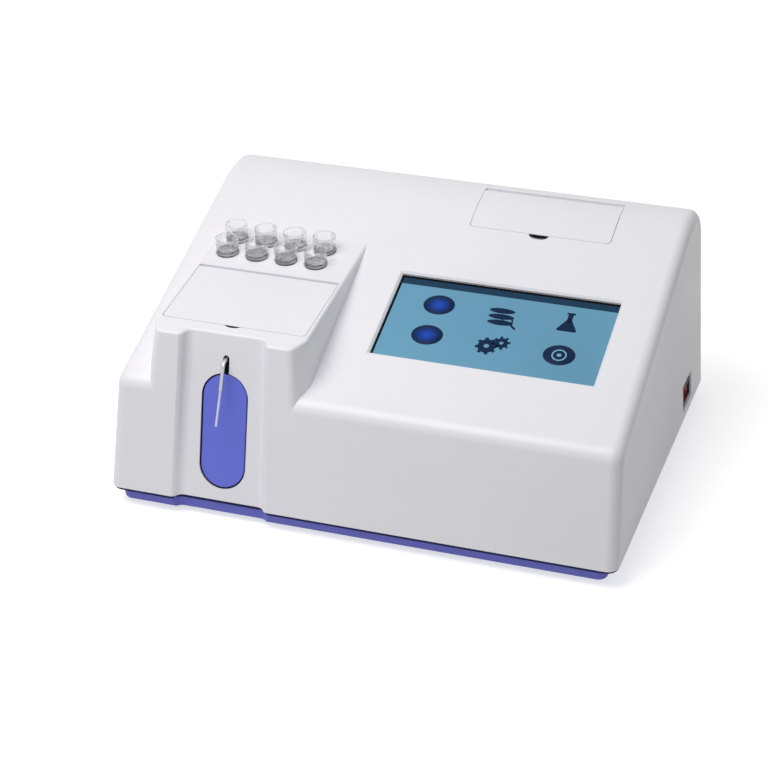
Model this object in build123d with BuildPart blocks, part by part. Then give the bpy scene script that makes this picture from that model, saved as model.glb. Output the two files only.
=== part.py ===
from build123d import *
import os
from math import atan, cos, degrees, hypot, pi, radians, sin, tan

os.makedirs("parts", exist_ok=True)

# Semi-automatic chemistry analyser: a wedge-shaped bench instrument with a lidded sample
# block, an aspiration key and needle, a touch display and a lidded strip printer.
# Millimetres, +Z up, +X to the user's right, -Y towards the user.
# The origin is on the bench, under the middle of the housing.

# Housing
case_width = 358.5
case_depth = 261.3
case_height = 142.7
base_height = 10.0
foot_height = 5.0
wall = 3.0
side_draft = 2.55
front_setback = 18.7
deck_edge_height = 77.7
deck_slope = 17.57
front_edge_radius = 12.0
crest_radius = 70.0
rear_top_radius = 22.0
side_edge_radius = 8.0

# Raised sample block on the left of the deck
block_x = -98.25
block_half_width = 54.7
block_front_height = 113.6
block_slope = 4.45
block_draft = 5.3
block_corner_width = 6.4
block_corner_depth = 14.0
block_corner_radius = 5.0
block_top_radius = 2.0
block_reach = 200.0
block_root = 55.0

# Niche in the front of the block, where the sample tube is held up to the needle
niche_half_width = 26.5
niche_draft = 1.3
niche_flank = 10.4
niche_depth = 5.0
niche_depth_gain = 0.0225
niche_lip = 0.5

# Aspirate key, a long oval in the niche, and its needle slot
key_width = 32.0
key_low = 9.0
key_high = 86.6
key_gap = 0.8
key_recess = 0.6
key_edge_radius = 1.2
key_travel = 2.5
key_flange = 2.5
key_flange_thickness = 1.5
key_flange_gap = 0.4
slot_width = 4.6
slot_top = 99.6
key_stem_radius = 2.0
key_stem_length = 4.2
key_stem_gap = 0.4
microswitch_size = (20.0, 12.0, 10.0)
microswitch_gap = 0.8
microswitch_rise = 8.0
microswitch_mount = (16.0, 9.0, 11.5)

# Needle and its soft tip tube, as distances behind the front and above the seam
needle_radius = 1.2
needle_tip = (17.4, 79.7)
needle_bend = (25.5, 96.8)
needle_end = (48.8, 97.2)
needle_bend_radius = 6.0
tip_tube_radius = 0.8
tip_tube_end = (6.4, 58.5)

# Lid over the sample bay
lid_gap = 0.35
lid_thickness = 2.6
lid_setback = 17.4
lid_length = 67.4
lid_half_width = 51.3
lid_corner_radius = 3.0
lid_barrel_radius = 3.0
lid_rib_height = 1.6
lid_rib_width = 1.5
lid_rib_inset = 8.0
lid_ribs = 4
lid_pin_radius = 1.0
pin_grip = 8.0
pin_seat = 2.4
ledge_width = 3.0
ledge_thickness = 2.0
ledge_gap = 0.2
notch_width = 11.4
notch_reach = 2.4
notch_depth = 1.8
running_gap = 0.03
barrel_gap = 0.5

# Sample bay, the tub under the lid
bay_wall = 2.0
bay_floor_height = 44.0
light_hole_radius = 5.0

# Sample cups standing in level seats behind the lid
cup_radius = 8.2
cup_height = 12.3
cup_wall = 0.9
cup_floor = 2.8
cup_draft = 2.5
cup_foot_radius = 0.8
cup_pitch_x = 22.0
cup_pitch_y = 18.4
cup_columns = 4
cup_rows = 2
cup_centre_x = -104.1
cup_front_y = 131.4
cup_seat_gap = 0.3
cup_seat_depth = 0.4
cup_pad_thickness = 2.2
cup_pad_margin = 2.0

# Display
screen_left = -11.7
screen_right = 143.4
screen_near = 55.6
screen_far = 132.0
screen_bevel = 1.4
glass_thickness = 1.8
glass_margin = 3.0
glass_gap = 0.2
lcd_thickness = 6.0
lcd_margin = 5.0
lcd_rim = 3.5
lcd_rim_height = 0.6
bracket_sheet = 1.5
bracket_window = (38.0, 58.0)
bracket_windows = 3
bracket_window_radius = 6.0

# Printer lid and bay
printer_x = 71.7
printer_half_width = 50.6
printer_front = 194.9
printer_back = 237.6
printer_barrel_radius = 4.0
printer_pin_radius = 1.5
printer_notch_width = 14.5
printer_notch_reach = 5.4
printer_notch_depth = 2.0
ear_thickness = 4.0
paper_width = 57.0
paper_radius = 13.0
paper_core_radius = 6.0
paper_gap = 0.4
paper_centre = (213.0, 105.0)
paper_stub = 4.0
printer_inner_half_width = 47.6
printer_floor_height = 90.0
printer_cheek_radius = 5.5
cheek_thickness = 2.0
cheek_gap = 0.5
platen_radius = 4.0
platen_shaft_radius = 1.5
platen_centre = (204.0, 126.0)
head_front = 198.6
head_thickness = 6.0
head_depth = 5.8
head_gap = 0.3
gear_module = 0.6
platen_teeth = 16
pinion_teeth = 10
gear_width = 3.0
gear_gap = 0.6
gear_backlash = 0.1
pinion_angle = -45.0
pinion_shaft_radius = 1.0
pinion_shaft_grip = 3.0
printer_motor_radius = 7.0
printer_motor_length = 8.0
motor_wall = 1.5
motor_wall_width = 18.0

# Rear panel in its recess
rear_recess = 12.0
rear_panel_half_width = 150.0
rear_panel_low = 16.0
rear_panel_high = 100.0
panel_sheet = 1.5
panel_gap = 0.3
panel_lip = 5.0
panel_lip_thickness = 2.5
panel_screw_inset = 7.0
recess_radius = 5.0
panel_vents = 7
panel_cut_gap = 0.2
panel_vent_size = (3.0, 46.0)
panel_vent_pitch = 7.0
panel_vent_x = -58.0

# Cooling fan and its guard
fan_size = 60.0
fan_depth = 15.0
fan_x = 14.0
fan_height = 58.0
fan_bore_radius = 28.0
fan_hole_pitch = 50.0
fan_hub_radius = 13.0
fan_cup_depth = 9.0
fan_blades = 7
fan_blade_thickness = 1.2
fan_tip_gap = 1.0
fan_chord = 13.0
fan_pitch = 36.0
fan_plate = 2.0
fan_strut = 3.0
fan_shaft_radius = 1.5
guard_wire_radius = 0.8
guard_rings = 3
guard_ring_radius = 29.0
guard_ring_pitch = 9.0

# Power switch on the right side
switch_y = 208.0
switch_height = 17.0
switch_pocket = (27.0, 21.0)
switch_pocket_depth = 1.6
switch_opening = (19.2, 13.0)
switch_bezel = (21.0, 15.0)
switch_bezel_thickness = 1.2
switch_wall = 1.1
switch_depth = 16.0
rocker_gap = 0.3
rocker_angle = 8.0
rocker_sink = 1.75
rocker_half_length = 7.2
rocker_depth = 5.5
rocker_pin_radius = 0.8
rocker_pin_grip = 0.9
switch_cavity_depth = 9.6

# Mains inlet with its fuse drawer, and the sockets on the rear panel
inlet_x = -105.0
inlet_height = 56.0
inlet_flange = (30.0, 38.0)
inlet_flange_thickness = 2.0
inlet_depth = 22.0
inlet_socket = (24.4, 16.8)
inlet_socket_rise = 6.0
inlet_socket_depth = 17.0
inlet_chamfer = 5.0
blade_size = (2.0, 4.0)
blade_spread = 14.0
blade_rise = 3.0
blade_tip_depth = 5.2
drawer_size = (22.0, 8.0)
drawer_drop = 11.0
drawer_depth = 18.0
drawer_gap = 0.2
drawer_lip = 2.0
serial_x = 78.0
usb_x = 112.0
port_height = 56.0
port_flange_thickness = 1.0
port_depth = 14.0
port_socket_depth = 6.0
serial_body = (18.0, 9.6)
serial_flange = (31.0, 12.6)
serial_opening = (16.0, 8.0)
serial_tongue = (12.0, 4.0)
usb_body = (13.0, 12.0)
usb_flange = (17.0, 15.0)
usb_opening = (8.6, 7.8)
usb_tongue = (5.6, 3.2)

# Optics, on a cast bench
optic_y = 79.0
optic_height = 60.0
bench_left = -48.0
bench_right = 34.0
bench_near = 58.0
bench_far = 136.0
bench_low = 22.0
bench_thickness = 6.0
bench_leg_radius = 4.5
bench_wall_thickness = 3.0
wheel_x = -33.0
wheel_thickness = 4.0
wheel_radius = 30.0
wheel_hub_radius = 7.0
wheel_wall_gap = 3.0
wheel_shaft_radius = 1.5
filter_count = 8
filter_pitch_radius = 24.0
filter_radius = 4.5
filter_thickness = 3.0
wheel_motor_radius = 14.0
wheel_motor_length = 14.0
lens_radius = 7.0
lens_thickness = 5.0
lamp_left = -5.0
lamp_right = 31.0
lamp_half_width = 15.0
lamp_top = 76.0
lamp_bore_radius = 8.0
lamp_fins = 6
lamp_fin_depth = 5.0
bulb_radius = 4.5

# Flow cell in its warmed block
flow_x = -75.0
flow_block = (34.0, 34.0, 38.0)
flow_well = 12.6
flow_cell_width = 12.3
flow_cell_height = 44.0
flow_bore_radius = 2.5
nozzle_radius = 1.2
nozzle_height = 3.0
nozzle_spread = 3.2
flow_well_floor = 4.0
flow_block_grooves = 5
detector_board = (1.6, 24.0, 26.0)
detector_radius = 4.2
detector_length = 2.4

# Peristaltic pump
pump_x = -123.0
pump_y = 79.0
pump_height = 18.0
pump_tube_radius = 2.2
pump_loop_radius = 14.8
pump_wall = 3.0
pump_plate = 3.0
pump_roller_radius = 4.0
pump_rollers_count = 3
pump_roller_pin_radius = 1.5
pump_disc_thickness = 2.0
pump_shaft_radius = 2.0
pump_motor_radius = 16.0
pump_motor_length = 36.0
tube_gap = 0.3
tube_turn_radius = 7.0
tube_rise = 10.0
tube_leg = 17.0
line_radius = 0.8
line_rise = 6.0
line_radii = (8.0, 10.0, 4.0)
spigot_radius = 3.0
spigot_bore_radius = 1.8
spigot_length = 9.0
spigot_inner_length = 6.0
spigot_flange_radius = 7.0
spigot_flange_thickness = 2.0

# Boards and power supply
board_size = (105.0, 120.0, 1.6)
board_centre = (97.0, 82.0)
board_lift = 7.0
board_post_radius = 3.5
board_post_inset = 5.0
board_parts = [
    (0.0, -8.0, (24.0, 24.0, 2.4)),
    (-32.0, 22.0, (18.0, 14.0, 12.0)),
    (-32.0, 2.0, (16.0, 10.0, 2.0)),
    (30.0, -26.0, (20.0, 30.0, 1.8)),
    (32.0, 34.0, (26.0, 9.0, 9.0)),
    (-6.0, 40.0, (30.0, 8.0, 7.0)),
    (34.0, 8.0, (12.0, 12.0, 3.0)),
]
capacitors = 3
capacitor_radius = 4.5
capacitor_height = 11.0
capacitor_place = (20.0, 40.0)
supply_size = (98.0, 66.0, 36.0)
supply_centre = (-98.0, 176.0)
supply_slots = 8

# Base tray, feet and fasteners
base_side_inset = 6.5
base_front_inset = 1.5
base_rear_inset = 4.0
base_corner_radius = 8.0
base_taper = 10.0
base_edge_radius = 1.5
base_floor = 3.0
base_flange = 2.0
base_flange_inset = 1.0
tab_length = 60.0
tab_height = 5.0
base_slot_size = (34.0, 3.0)
base_slot_pitch = 8.0
base_slot_rows = 7
base_slot_centre = (60.0, 60.0)
screw_radius = 1.5
screw_head_radius = 2.8
screw_head_height = 2.0
screw_sink = 3.0
screw_grip = 10.0
boss_radius = 4.5
boss_height = 24.0
boss_inset_x = 22.0
boss_inset_y = 24.0
boss_web = 2.5
boss_lift = 2.0
foot_radius = 10.0
foot_seat = 1.0
foot_taper = 8.0
foot_inset_x = 44.0
foot_inset_y = 24.0

# Places worked out from the sizes above
seam_z = foot_height + base_height
front_y = -case_depth / 2
rear_y = case_depth / 2
lean = front_setback / deck_edge_height
crest_z = seam_z + case_height
deck_edge_y = front_y + front_setback
deck_edge_z = seam_z + deck_edge_height
crest_y = deck_edge_y + (crest_z - deck_edge_z) / tan(radians(deck_slope))


def front_face_y(z):
    """Where the leaning front face stands at height z."""
    return front_y + (z - seam_z) * lean


def deck_z(y):
    """Height of the sloping deck at y."""
    return deck_edge_z + (y - deck_edge_y) * tan(radians(deck_slope))


def half_width(z):
    """Half the width of the drafted housing at height z."""
    return case_width / 2 - (z - seam_z) * tan(radians(side_draft))


block_front_z = seam_z + block_front_height
block_front_y = front_face_y(block_front_z)


def block_top_z(y):
    """Height of the top of the sample block at y."""
    return block_front_z + (y - block_front_y) * tan(radians(block_slope))


# Working planes: deck, top of the block, back of the niche
deck_plane = Plane(
    origin=(0, deck_edge_y, deck_edge_z),
    x_dir=(1, 0, 0),
    z_dir=(0, -sin(radians(deck_slope)), cos(radians(deck_slope))),
)
block_plane = Plane(
    origin=(block_x, block_front_y, block_front_z),
    x_dir=(1, 0, 0),
    z_dir=(0, -sin(radians(block_slope)), cos(radians(block_slope))),
)


def above_seam(height):
    """Height above the bench of a place given from the seam."""
    return seam_z + height


def behind_front(distance):
    """Y of a place given from the front of the seam."""
    return front_y + distance


def corner_at(sketch, point):
    """The sketch vertex nearest to a point given in the sketch's own plane."""
    return sketch.vertices().sort_by_distance(point)[0]


def wedge_form(inset):
    """The wedge-shaped main body, pulled in all round by inset."""
    bottom = seam_z if inset == 0 else seam_z - inset - 1
    top = crest_z + 5
    corners = [
        (front_face_y(bottom), bottom),
        (deck_edge_y, deck_edge_z),
        (crest_y, crest_z),
        (rear_y, crest_z),
        (rear_y, bottom),
    ]
    radii = [front_edge_radius, crest_radius, rear_top_radius]
    side = inset / cos(radians(side_draft))
    with BuildPart() as wedge:
        with BuildSketch(Plane.YZ) as profile:
            with BuildLine():
                Polyline(*corners, close=True)
            make_face()
            if inset > 0:
                offset(amount=-inset, kind=Kind.INTERSECTION)
            for corner, radius in zip(corners[1:4], radii):
                fillet(corner_at(profile, corner), radius=radius - inset)
        extrude(amount=case_width, both=True)
        with BuildSketch(Plane.XZ):
            with BuildLine():
                Polyline(
                    (-half_width(bottom) + side, bottom),
                    (half_width(bottom) - side, bottom),
                    (half_width(top) - side, top),
                    (-half_width(top) + side, top),
                    close=True,
                )
            make_face()
        extrude(amount=case_depth, both=True, mode=Mode.INTERSECT)
        ends = wedge.faces().sort_by(Axis.X)
        rim = [
            edge
            for face in (ends[0], ends[-1])
            for edge in face.edges()
            if edge.position_at(0.5).Z > bottom + 1
        ]
        fillet(rim, radius=side_edge_radius - inset)
    return wedge.part


def niche_section(z, grow):
    """The niche's plan at height z, grown by grow, open to the front."""
    rise = z - seam_z
    front = front_face_y(z) + grow - niche_lip
    back = front_face_y(z) + niche_depth + rise * niche_depth_gain + grow
    near = niche_half_width - rise * tan(radians(niche_draft)) + grow
    far = near + niche_flank
    clear = front_y - 3 * base_height
    with BuildSketch(Plane.XY.offset(z)) as section:
        with BuildLine():
            Line((block_x - near, back), (block_x + near, back))
            for side in (-1, 1):
                start = (block_x + side * far, front)
                middle = (block_x + side * (near + far) / 2, (front + back) / 2)
                end = (block_x + side * near, back)
                TangentArc(start, middle, tangent=(-side, 0))
                TangentArc(end, middle, tangent=(side, 0))
                Line(start, (block_x + side * far, clear))
            Line((block_x - far, clear), (block_x + far, clear))
        make_face()
    return section.sketch


def niche_form(grow, low, high):
    """What the niche takes away between two heights, grown by grow."""
    with BuildPart() as niche:
        for z in (low, high):
            add(niche_section(z, grow))
        loft(ruled=True)
    return niche.part


def block_outline(z, inset):
    """Plan corners of the sample block at height z, pulled in by inset."""
    half = block_half_width - inset + (block_front_z - z) * tan(radians(block_draft))
    front = front_face_y(z) + inset * hypot(1, lean)
    depth = block_corner_depth - inset / 2
    back = front_y + block_reach
    return [
        (block_x - half, back),
        (block_x - half, front + depth),
        (block_x - half + block_corner_width, front),
        (block_x + half - block_corner_width, front),
        (block_x + half, front + depth),
        (block_x + half, back),
    ]


def block_form(inset):
    """The raised sample block, pulled in by inset, with its niche."""
    low = deck_edge_z - block_root
    with BuildPart() as block:
        for z in (low, crest_z):
            with BuildSketch(Plane.XY.offset(z)):
                with BuildLine():
                    Polyline(*block_outline(z, inset), close=True)
                make_face()
        loft(ruled=True)
        uprights = block.edges().filter_by(lambda e: abs(e.tangent_at(0.5).Z) > 0.7)
        corners = uprights.filter_by(lambda e: e.position_at(0.5).Y < 0)
        fillet(corners, radius=max(block_corner_radius - inset, 1.0))
        split(bisect_by=block_plane.offset(-inset), keep=Keep.BOTTOM)
        add(niche_form(inset, seam_z - inset - 5, crest_z), mode=Mode.SUBTRACT)
        if inset == 0:
            top = block.faces().sort_by(Axis.Z)[-1]
            rim = [e for e in top.edges() if e.position_at(0.5).Y < front_y + block_reach - 1]
            fillet(rim, radius=block_top_radius)
    return block.part


def housing_form(inset):
    """The whole housing as a solid, pulled in by inset."""
    with BuildPart() as housing:
        add(wedge_form(inset))
        add(niche_form(inset, seam_z - inset - 5, crest_z), mode=Mode.SUBTRACT)
        add(block_form(inset))
    return housing.part


# Key plane: on the back wall of the niche, at the middle of the key
niche_slope = degrees(atan(lean + niche_depth_gain))
key_middle = (key_low + key_high) / 2
key_length = (key_high - key_low) / cos(radians(niche_slope))
key_plane = Plane(
    origin=(
        block_x,
        behind_front(niche_depth + key_middle * (lean + niche_depth_gain)),
        above_seam(key_middle),
    ),
    x_dir=(1, 0, 0),
    z_dir=(0, -cos(radians(niche_slope)), sin(radians(niche_slope))),
)
slot_rise = (slot_top - key_middle) / cos(radians(niche_slope))

# Side plane: on the right wall, at the power switch, with its x along the wall
switch_z = above_seam(switch_height)
side_plane = Plane(
    origin=(half_width(switch_z), behind_front(switch_y), switch_z),
    x_dir=(0, 1, 0),
    z_dir=(cos(radians(side_draft)), 0, sin(radians(side_draft))),
)

# The two lids and their hinge lines
lid_far = lid_setback + lid_length
lid_middle = (lid_setback + lid_far) / 2
lid_hinge = block_plane.from_local_coords(
    Vector(0, lid_far - lid_barrel_radius, -lid_barrel_radius)
)
lid_bed = lid_thickness + ledge_gap
printer_near_y = behind_front(printer_front)
printer_far_y = behind_front(printer_back)
printer_middle_y = (printer_near_y + printer_far_y) / 2
printer_reach = printer_far_y - printer_near_y
printer_hinge_y = printer_far_y - printer_barrel_radius
printer_hinge_z = crest_z - printer_barrel_radius

# Display layers, as depths below the deck
glass_depth = wall + glass_gap
lcd_depth = glass_depth + glass_thickness
bracket_depth = lcd_depth + lcd_thickness
screen_width = screen_right - screen_left
screen_length = screen_far - screen_near
lcd_width = screen_width + 2 * lcd_margin
lcd_length = screen_length + 2 * lcd_margin
screen_plane = Plane(
    origin=deck_plane.from_local_coords(
        Vector((screen_left + screen_right) / 2, (screen_near + screen_far) / 2, 0)
    ),
    x_dir=(1, 0, 0),
    z_dir=deck_plane.z_dir,
)

# Sample bay, inside its walls
bay_half_width = lid_half_width - ledge_width
bay_near_y = block_front_y + lid_setback + ledge_width
bay_far_y = block_front_y + lid_far - 2 * lid_barrel_radius - bay_wall - barrel_gap
bay_floor_z = above_seam(bay_floor_height)
bay_y = (bay_near_y + bay_far_y) / 2
bay_length = bay_far_y - bay_near_y

# Cup seats: columns along X, rows front to back
cup_places = []
for row in range(cup_rows):
    for column in range(cup_columns):
        cup_x = cup_centre_x + (column - (cup_columns - 1) / 2) * cup_pitch_x
        cup_y = behind_front(cup_front_y + row * cup_pitch_y)
        seat_z = block_top_z(cup_y - cup_radius) - cup_seat_depth
        cup_places.append((cup_x, cup_y, seat_z))
cup_middle_y = behind_front(cup_front_y + (cup_rows - 1) * cup_pitch_y / 2)

# Screw bosses, feet and rear screws
boss_z = seam_z + boss_lift
boss_places = [
    (side * (case_width / 2 - boss_inset_x), end * (case_depth / 2 - boss_inset_y))
    for side in (-1, 1)
    for end in (-1, 0, 1)
]
foot_places = [
    (side * (case_width / 2 - foot_inset_x), end * (case_depth / 2 - foot_inset_y))
    for side in (-1, 1)
    for end in (-1, 1)
]
floor_z = foot_height + base_floor
board_x, board_y = board_centre[0], behind_front(board_centre[1])
board_z = floor_z + board_lift
post_reach_x = board_size[0] / 2 - board_post_inset
post_reach_y = board_size[1] / 2 - board_post_inset
board_post_places = [
    (board_x + i * post_reach_x, board_y + j * post_reach_y) for i in (-1, 1) for j in (-1, 1)
]

# Rear panel: planes that look out of the back, with their x to the left of the front view
panel_face_y = rear_y - rear_recess
panel_back_y = panel_face_y - panel_sheet
rear_middle_z = above_seam((rear_panel_low + rear_panel_high) / 2)
rear_panel_height = rear_panel_high - rear_panel_low
rear_plane = Plane(origin=(0, rear_y, 0), x_dir=(-1, 0, 0), z_dir=(0, 1, 0))
panel_plane = Plane(origin=(0, panel_face_y, 0), x_dir=(-1, 0, 0), z_dir=(0, 1, 0))
panel_back_plane = panel_plane.offset(-panel_sheet)
rear_screw_x = rear_panel_half_width - panel_screw_inset
rear_screw_rise = rear_panel_height / 2 - panel_screw_inset
rear_screw_places = [
    (i * rear_screw_x, rear_middle_z + j * rear_screw_rise) for i in (-1, 1) for j in (-1, 1)
]
waste_x = pump_x - pump_loop_radius
pump_z = bay_floor_z + pump_plate + pump_height / 2


def printer_prism(grow):
    """A standing block on the printer lid's plan, grown by grow, to cut the shell with."""
    with BuildPart() as prism:
        with BuildSketch(Plane.XY.offset(seam_z)):
            with Locations((printer_x, printer_middle_y)):
                RectangleRounded(
                    2 * (printer_half_width + grow), printer_reach + 2 * grow, lid_corner_radius
                )
        extrude(amount=case_height + 5)
    return prism.part


def deck_band(top, bottom):
    """The slice of the main body between two depths below its surface."""
    with BuildPart() as band:
        add(wedge_form(top))
        add(wedge_form(bottom), mode=Mode.SUBTRACT)
    return band.part


printer_band = deck_band(lid_bed, lid_bed + ledge_thickness)

# Upper case: the white moulded shell
with BuildPart() as printer_ledge:
    add(printer_band)
    add(printer_prism(ledge_width / 2), mode=Mode.INTERSECT)
    with BuildSketch(Plane.XY.offset(seam_z)):
        with Locations((printer_x, printer_middle_y + ledge_width)):
            Rectangle(2 * (printer_half_width - ledge_width), printer_reach)
    extrude(amount=2 * case_height, mode=Mode.SUBTRACT)

with BuildPart() as printer_opening:
    add(printer_prism(lid_gap))
    add(wedge_form(lid_bed), mode=Mode.SUBTRACT)

with BuildPart() as upper_case:
    add(housing_form(0))
    add(housing_form(wall), mode=Mode.SUBTRACT)

    # Pad under the top that the sample cups' seats are sunk in
    cup_pad_place = block_plane.to_local_coords(Vector(cup_centre_x, cup_middle_y, 0))
    with BuildSketch(block_plane.offset(ledge_gap - wall)):
        with Locations((cup_pad_place.X, cup_pad_place.Y)):
            Rectangle(
                (cup_columns - 1) * cup_pitch_x + 2 * (cup_radius + cup_pad_margin),
                (cup_rows - 1) * cup_pitch_y + 2 * (cup_radius + cup_pad_margin),
            )
    extrude(amount=-cup_pad_thickness)

    # Ledges under the sample lid, then its opening, barrel groove, finger scoop and pin holes
    with BuildSketch(block_plane.offset(-lid_bed)):
        with Locations((0, lid_middle - ledge_width / 2)):
            Rectangle(2 * (lid_half_width + lid_gap) + ledge_width / 3, lid_length + ledge_width)
        with Locations((0, lid_middle + ledge_width)):
            Rectangle(2 * bay_half_width, lid_length, mode=Mode.SUBTRACT)
    extrude(amount=-ledge_thickness)
    with BuildSketch(block_plane.offset(1)):
        with Locations((0, lid_middle)):
            RectangleRounded(
                2 * (lid_half_width + lid_gap), lid_length + 2 * lid_gap, lid_corner_radius
            )
    extrude(amount=-1 - lid_bed, mode=Mode.SUBTRACT)
    with BuildSketch(block_plane.offset(1)):
        with Locations((0, lid_middle + ledge_width / 2)):
            Rectangle(2 * bay_half_width, lid_length - ledge_width)
    extrude(amount=-1 - 3 * wall, mode=Mode.SUBTRACT)
    with BuildSketch(block_plane.offset(1)):
        with Locations((0, lid_far - lid_barrel_radius)):
            Rectangle(2 * (lid_half_width + lid_gap), 2 * (lid_barrel_radius + lid_gap))
    extrude(amount=-1 - 2 * lid_barrel_radius - lid_gap, mode=Mode.SUBTRACT)
    with BuildSketch(block_plane):
        with Locations((0, lid_setback)):
            Ellipse(notch_width / 2, notch_reach)
    extrude(amount=-notch_depth, mode=Mode.SUBTRACT)
    with BuildSketch(Plane.YZ.offset(block_x)):
        with Locations((lid_hinge.Y, lid_hinge.Z)):
            Circle(lid_pin_radius)
    extrude(amount=lid_half_width + lid_gap + pin_seat, both=True, mode=Mode.SUBTRACT)

    # Level seats for the sample cups
    for cup_x, cup_y, seat_z in cup_places:
        with BuildSketch(Plane.XY.offset(seat_z)):
            with Locations((cup_x, cup_y)):
                Circle(cup_radius + cup_seat_gap)
        extrude(amount=cup_height, mode=Mode.SUBTRACT)

    # Display opening with a bevelled lip
    with BuildSketch(screen_plane):
        Rectangle(screen_width, screen_length)
    extrude(amount=-2 * wall, mode=Mode.SUBTRACT)
    with BuildSketch(screen_plane):
        Rectangle(screen_width + 2 * screen_bevel, screen_length + 2 * screen_bevel)
    extrude(amount=-screen_bevel, taper=45, mode=Mode.SUBTRACT)

    # Key opening and needle slot in the back wall of the niche
    with BuildSketch(key_plane.offset(1)):
        SlotOverall(key_length + 2 * key_gap, key_width + 2 * key_gap, rotation=90)
        with Locations((0, slot_rise / 2)):
            SlotOverall(slot_rise, slot_width, rotation=90)
    extrude(amount=-1 - 2 * wall, mode=Mode.SUBTRACT)

    # Printer lid: ledges that follow the deck, ears for its pins, opening and finger scoop
    add(printer_ledge.part)
    ear_radius = printer_barrel_radius + wall
    for side in (-1, 1):
        ear_x = printer_x + side * (printer_half_width + lid_gap)
        with BuildSketch(Plane.YZ.offset(ear_x)):
            with Locations((printer_hinge_y, printer_hinge_z)):
                Circle(ear_radius)
            with Locations((printer_hinge_y, crest_z - wall / 2 + ear_radius)):
                Rectangle(4 * ear_radius, 2 * ear_radius, mode=Mode.SUBTRACT)
        extrude(amount=side * ear_thickness)
    add(printer_opening.part, mode=Mode.SUBTRACT)
    with BuildSketch(Plane.XY.offset(seam_z + printer_floor_height)):
        with Locations((printer_x, printer_middle_y + ledge_width / 2)):
            Rectangle(2 * (printer_half_width - ledge_width), printer_reach - ledge_width)
    extrude(amount=case_height, mode=Mode.SUBTRACT)
    with BuildSketch(Plane.YZ.offset(printer_x)):
        with Locations((printer_hinge_y, printer_hinge_z)):
            Circle(printer_barrel_radius + lid_gap)
        with Locations((printer_hinge_y, printer_hinge_z + ear_radius)):
            Rectangle(2 * (printer_barrel_radius + lid_gap), 2 * ear_radius)
    extrude(amount=printer_half_width + lid_gap, both=True, mode=Mode.SUBTRACT)
    with BuildSketch(Plane.YZ.offset(printer_x)):
        with Locations((printer_hinge_y, printer_hinge_z)):
            Circle(printer_pin_radius)
    extrude(amount=printer_half_width + lid_gap + pin_seat, both=True, mode=Mode.SUBTRACT)
    printer_scoop = deck_plane.to_local_coords(Vector(printer_x, printer_near_y, deck_z(printer_near_y)))
    with BuildSketch(deck_plane):
        with Locations((printer_x, printer_scoop.Y)):
            Ellipse(printer_notch_width / 2, printer_notch_reach)
    extrude(amount=-printer_notch_depth, mode=Mode.SUBTRACT)

    # Recess in the back for the rear panel, with a lip that the panel screws to
    with BuildSketch(rear_plane):
        with Locations((0, rear_middle_z)):
            RectangleRounded(
                2 * (rear_panel_half_width + wall), rear_panel_height + 2 * wall, recess_radius + wall
            )
    extrude(amount=-rear_recess - panel_sheet - panel_lip_thickness)
    with BuildSketch(rear_plane):
        with Locations((0, rear_middle_z)):
            RectangleRounded(2 * rear_panel_half_width, rear_panel_height, recess_radius)
    extrude(amount=-rear_recess - panel_sheet, mode=Mode.SUBTRACT)
    with BuildSketch(rear_plane):
        with Locations((0, rear_middle_z)):
            RectangleRounded(
                2 * (rear_panel_half_width - panel_lip), rear_panel_height - 2 * panel_lip, recess_radius
            )
    extrude(amount=-2 * rear_recess, mode=Mode.SUBTRACT)
    with BuildSketch(panel_back_plane):
        with Locations(*rear_screw_places):
            Circle(boss_radius)
    extrude(amount=-screw_grip)
    with BuildSketch(panel_back_plane):
        with Locations(*rear_screw_places):
            Circle(screw_radius + running_gap)
    extrude(amount=-screw_grip, mode=Mode.SUBTRACT)

    # Pocket and opening for the power switch
    with BuildSketch(side_plane):
        Rectangle(switch_pocket[0] + 2 * wall, switch_pocket[1] + 2 * wall)
    extrude(amount=-wall - switch_pocket_depth)
    with BuildSketch(side_plane.offset(1)):
        RectangleRounded(*switch_pocket, switch_pocket_depth)
    extrude(amount=-1 - switch_pocket_depth, mode=Mode.SUBTRACT)
    with BuildSketch(side_plane):
        Rectangle(*switch_opening)
    extrude(amount=-3 * wall, mode=Mode.SUBTRACT)

    # Screw bosses down the sides, webbed to the wall
    for boss_x, boss_y in boss_places:
        web_length = case_width / 2 - wall / 2 - 1 - abs(boss_x)
        web_x = boss_x + web_length / 2 if boss_x > 0 else boss_x - web_length / 2
        with BuildSketch(Plane.XY.offset(boss_z)):
            with Locations((boss_x, boss_y)):
                Circle(boss_radius)
            with Locations((web_x, boss_y)):
                Rectangle(web_length, boss_web)
        extrude(amount=boss_height)
        with BuildSketch(Plane.XY.offset(boss_z)):
            with Locations((boss_x, boss_y)):
                Circle(screw_radius + running_gap)
        extrude(amount=boss_height / 2, mode=Mode.SUBTRACT)
upper_case.part.label = "upper_case"
export_step(upper_case.part, "parts/upper_case.step")


def base_plan(z, inset):
    """The base tray's outline at height z, pulled in by inset."""
    width = case_width - 2 * (base_side_inset + inset)
    depth = case_depth - base_front_inset - base_rear_inset - 2 * inset
    with BuildSketch(Plane.XY.offset(z)) as plan:
        with Locations((0, (base_front_inset - base_rear_inset) / 2)):
            RectangleRounded(width, depth, base_corner_radius - inset)
    return plan.sketch


# Base tray: the coloured bottom that carries the boards and takes the case screws
with BuildPart() as base_hollow:
    add(base_plan(seam_z, wall))
    extrude(amount=base_floor - base_height, taper=base_taper)
    with BuildSketch(Plane.XY.offset(foot_height)):
        add(niche_section(seam_z, base_front_inset + wall))
    extrude(amount=2 * base_height, mode=Mode.SUBTRACT)

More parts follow.
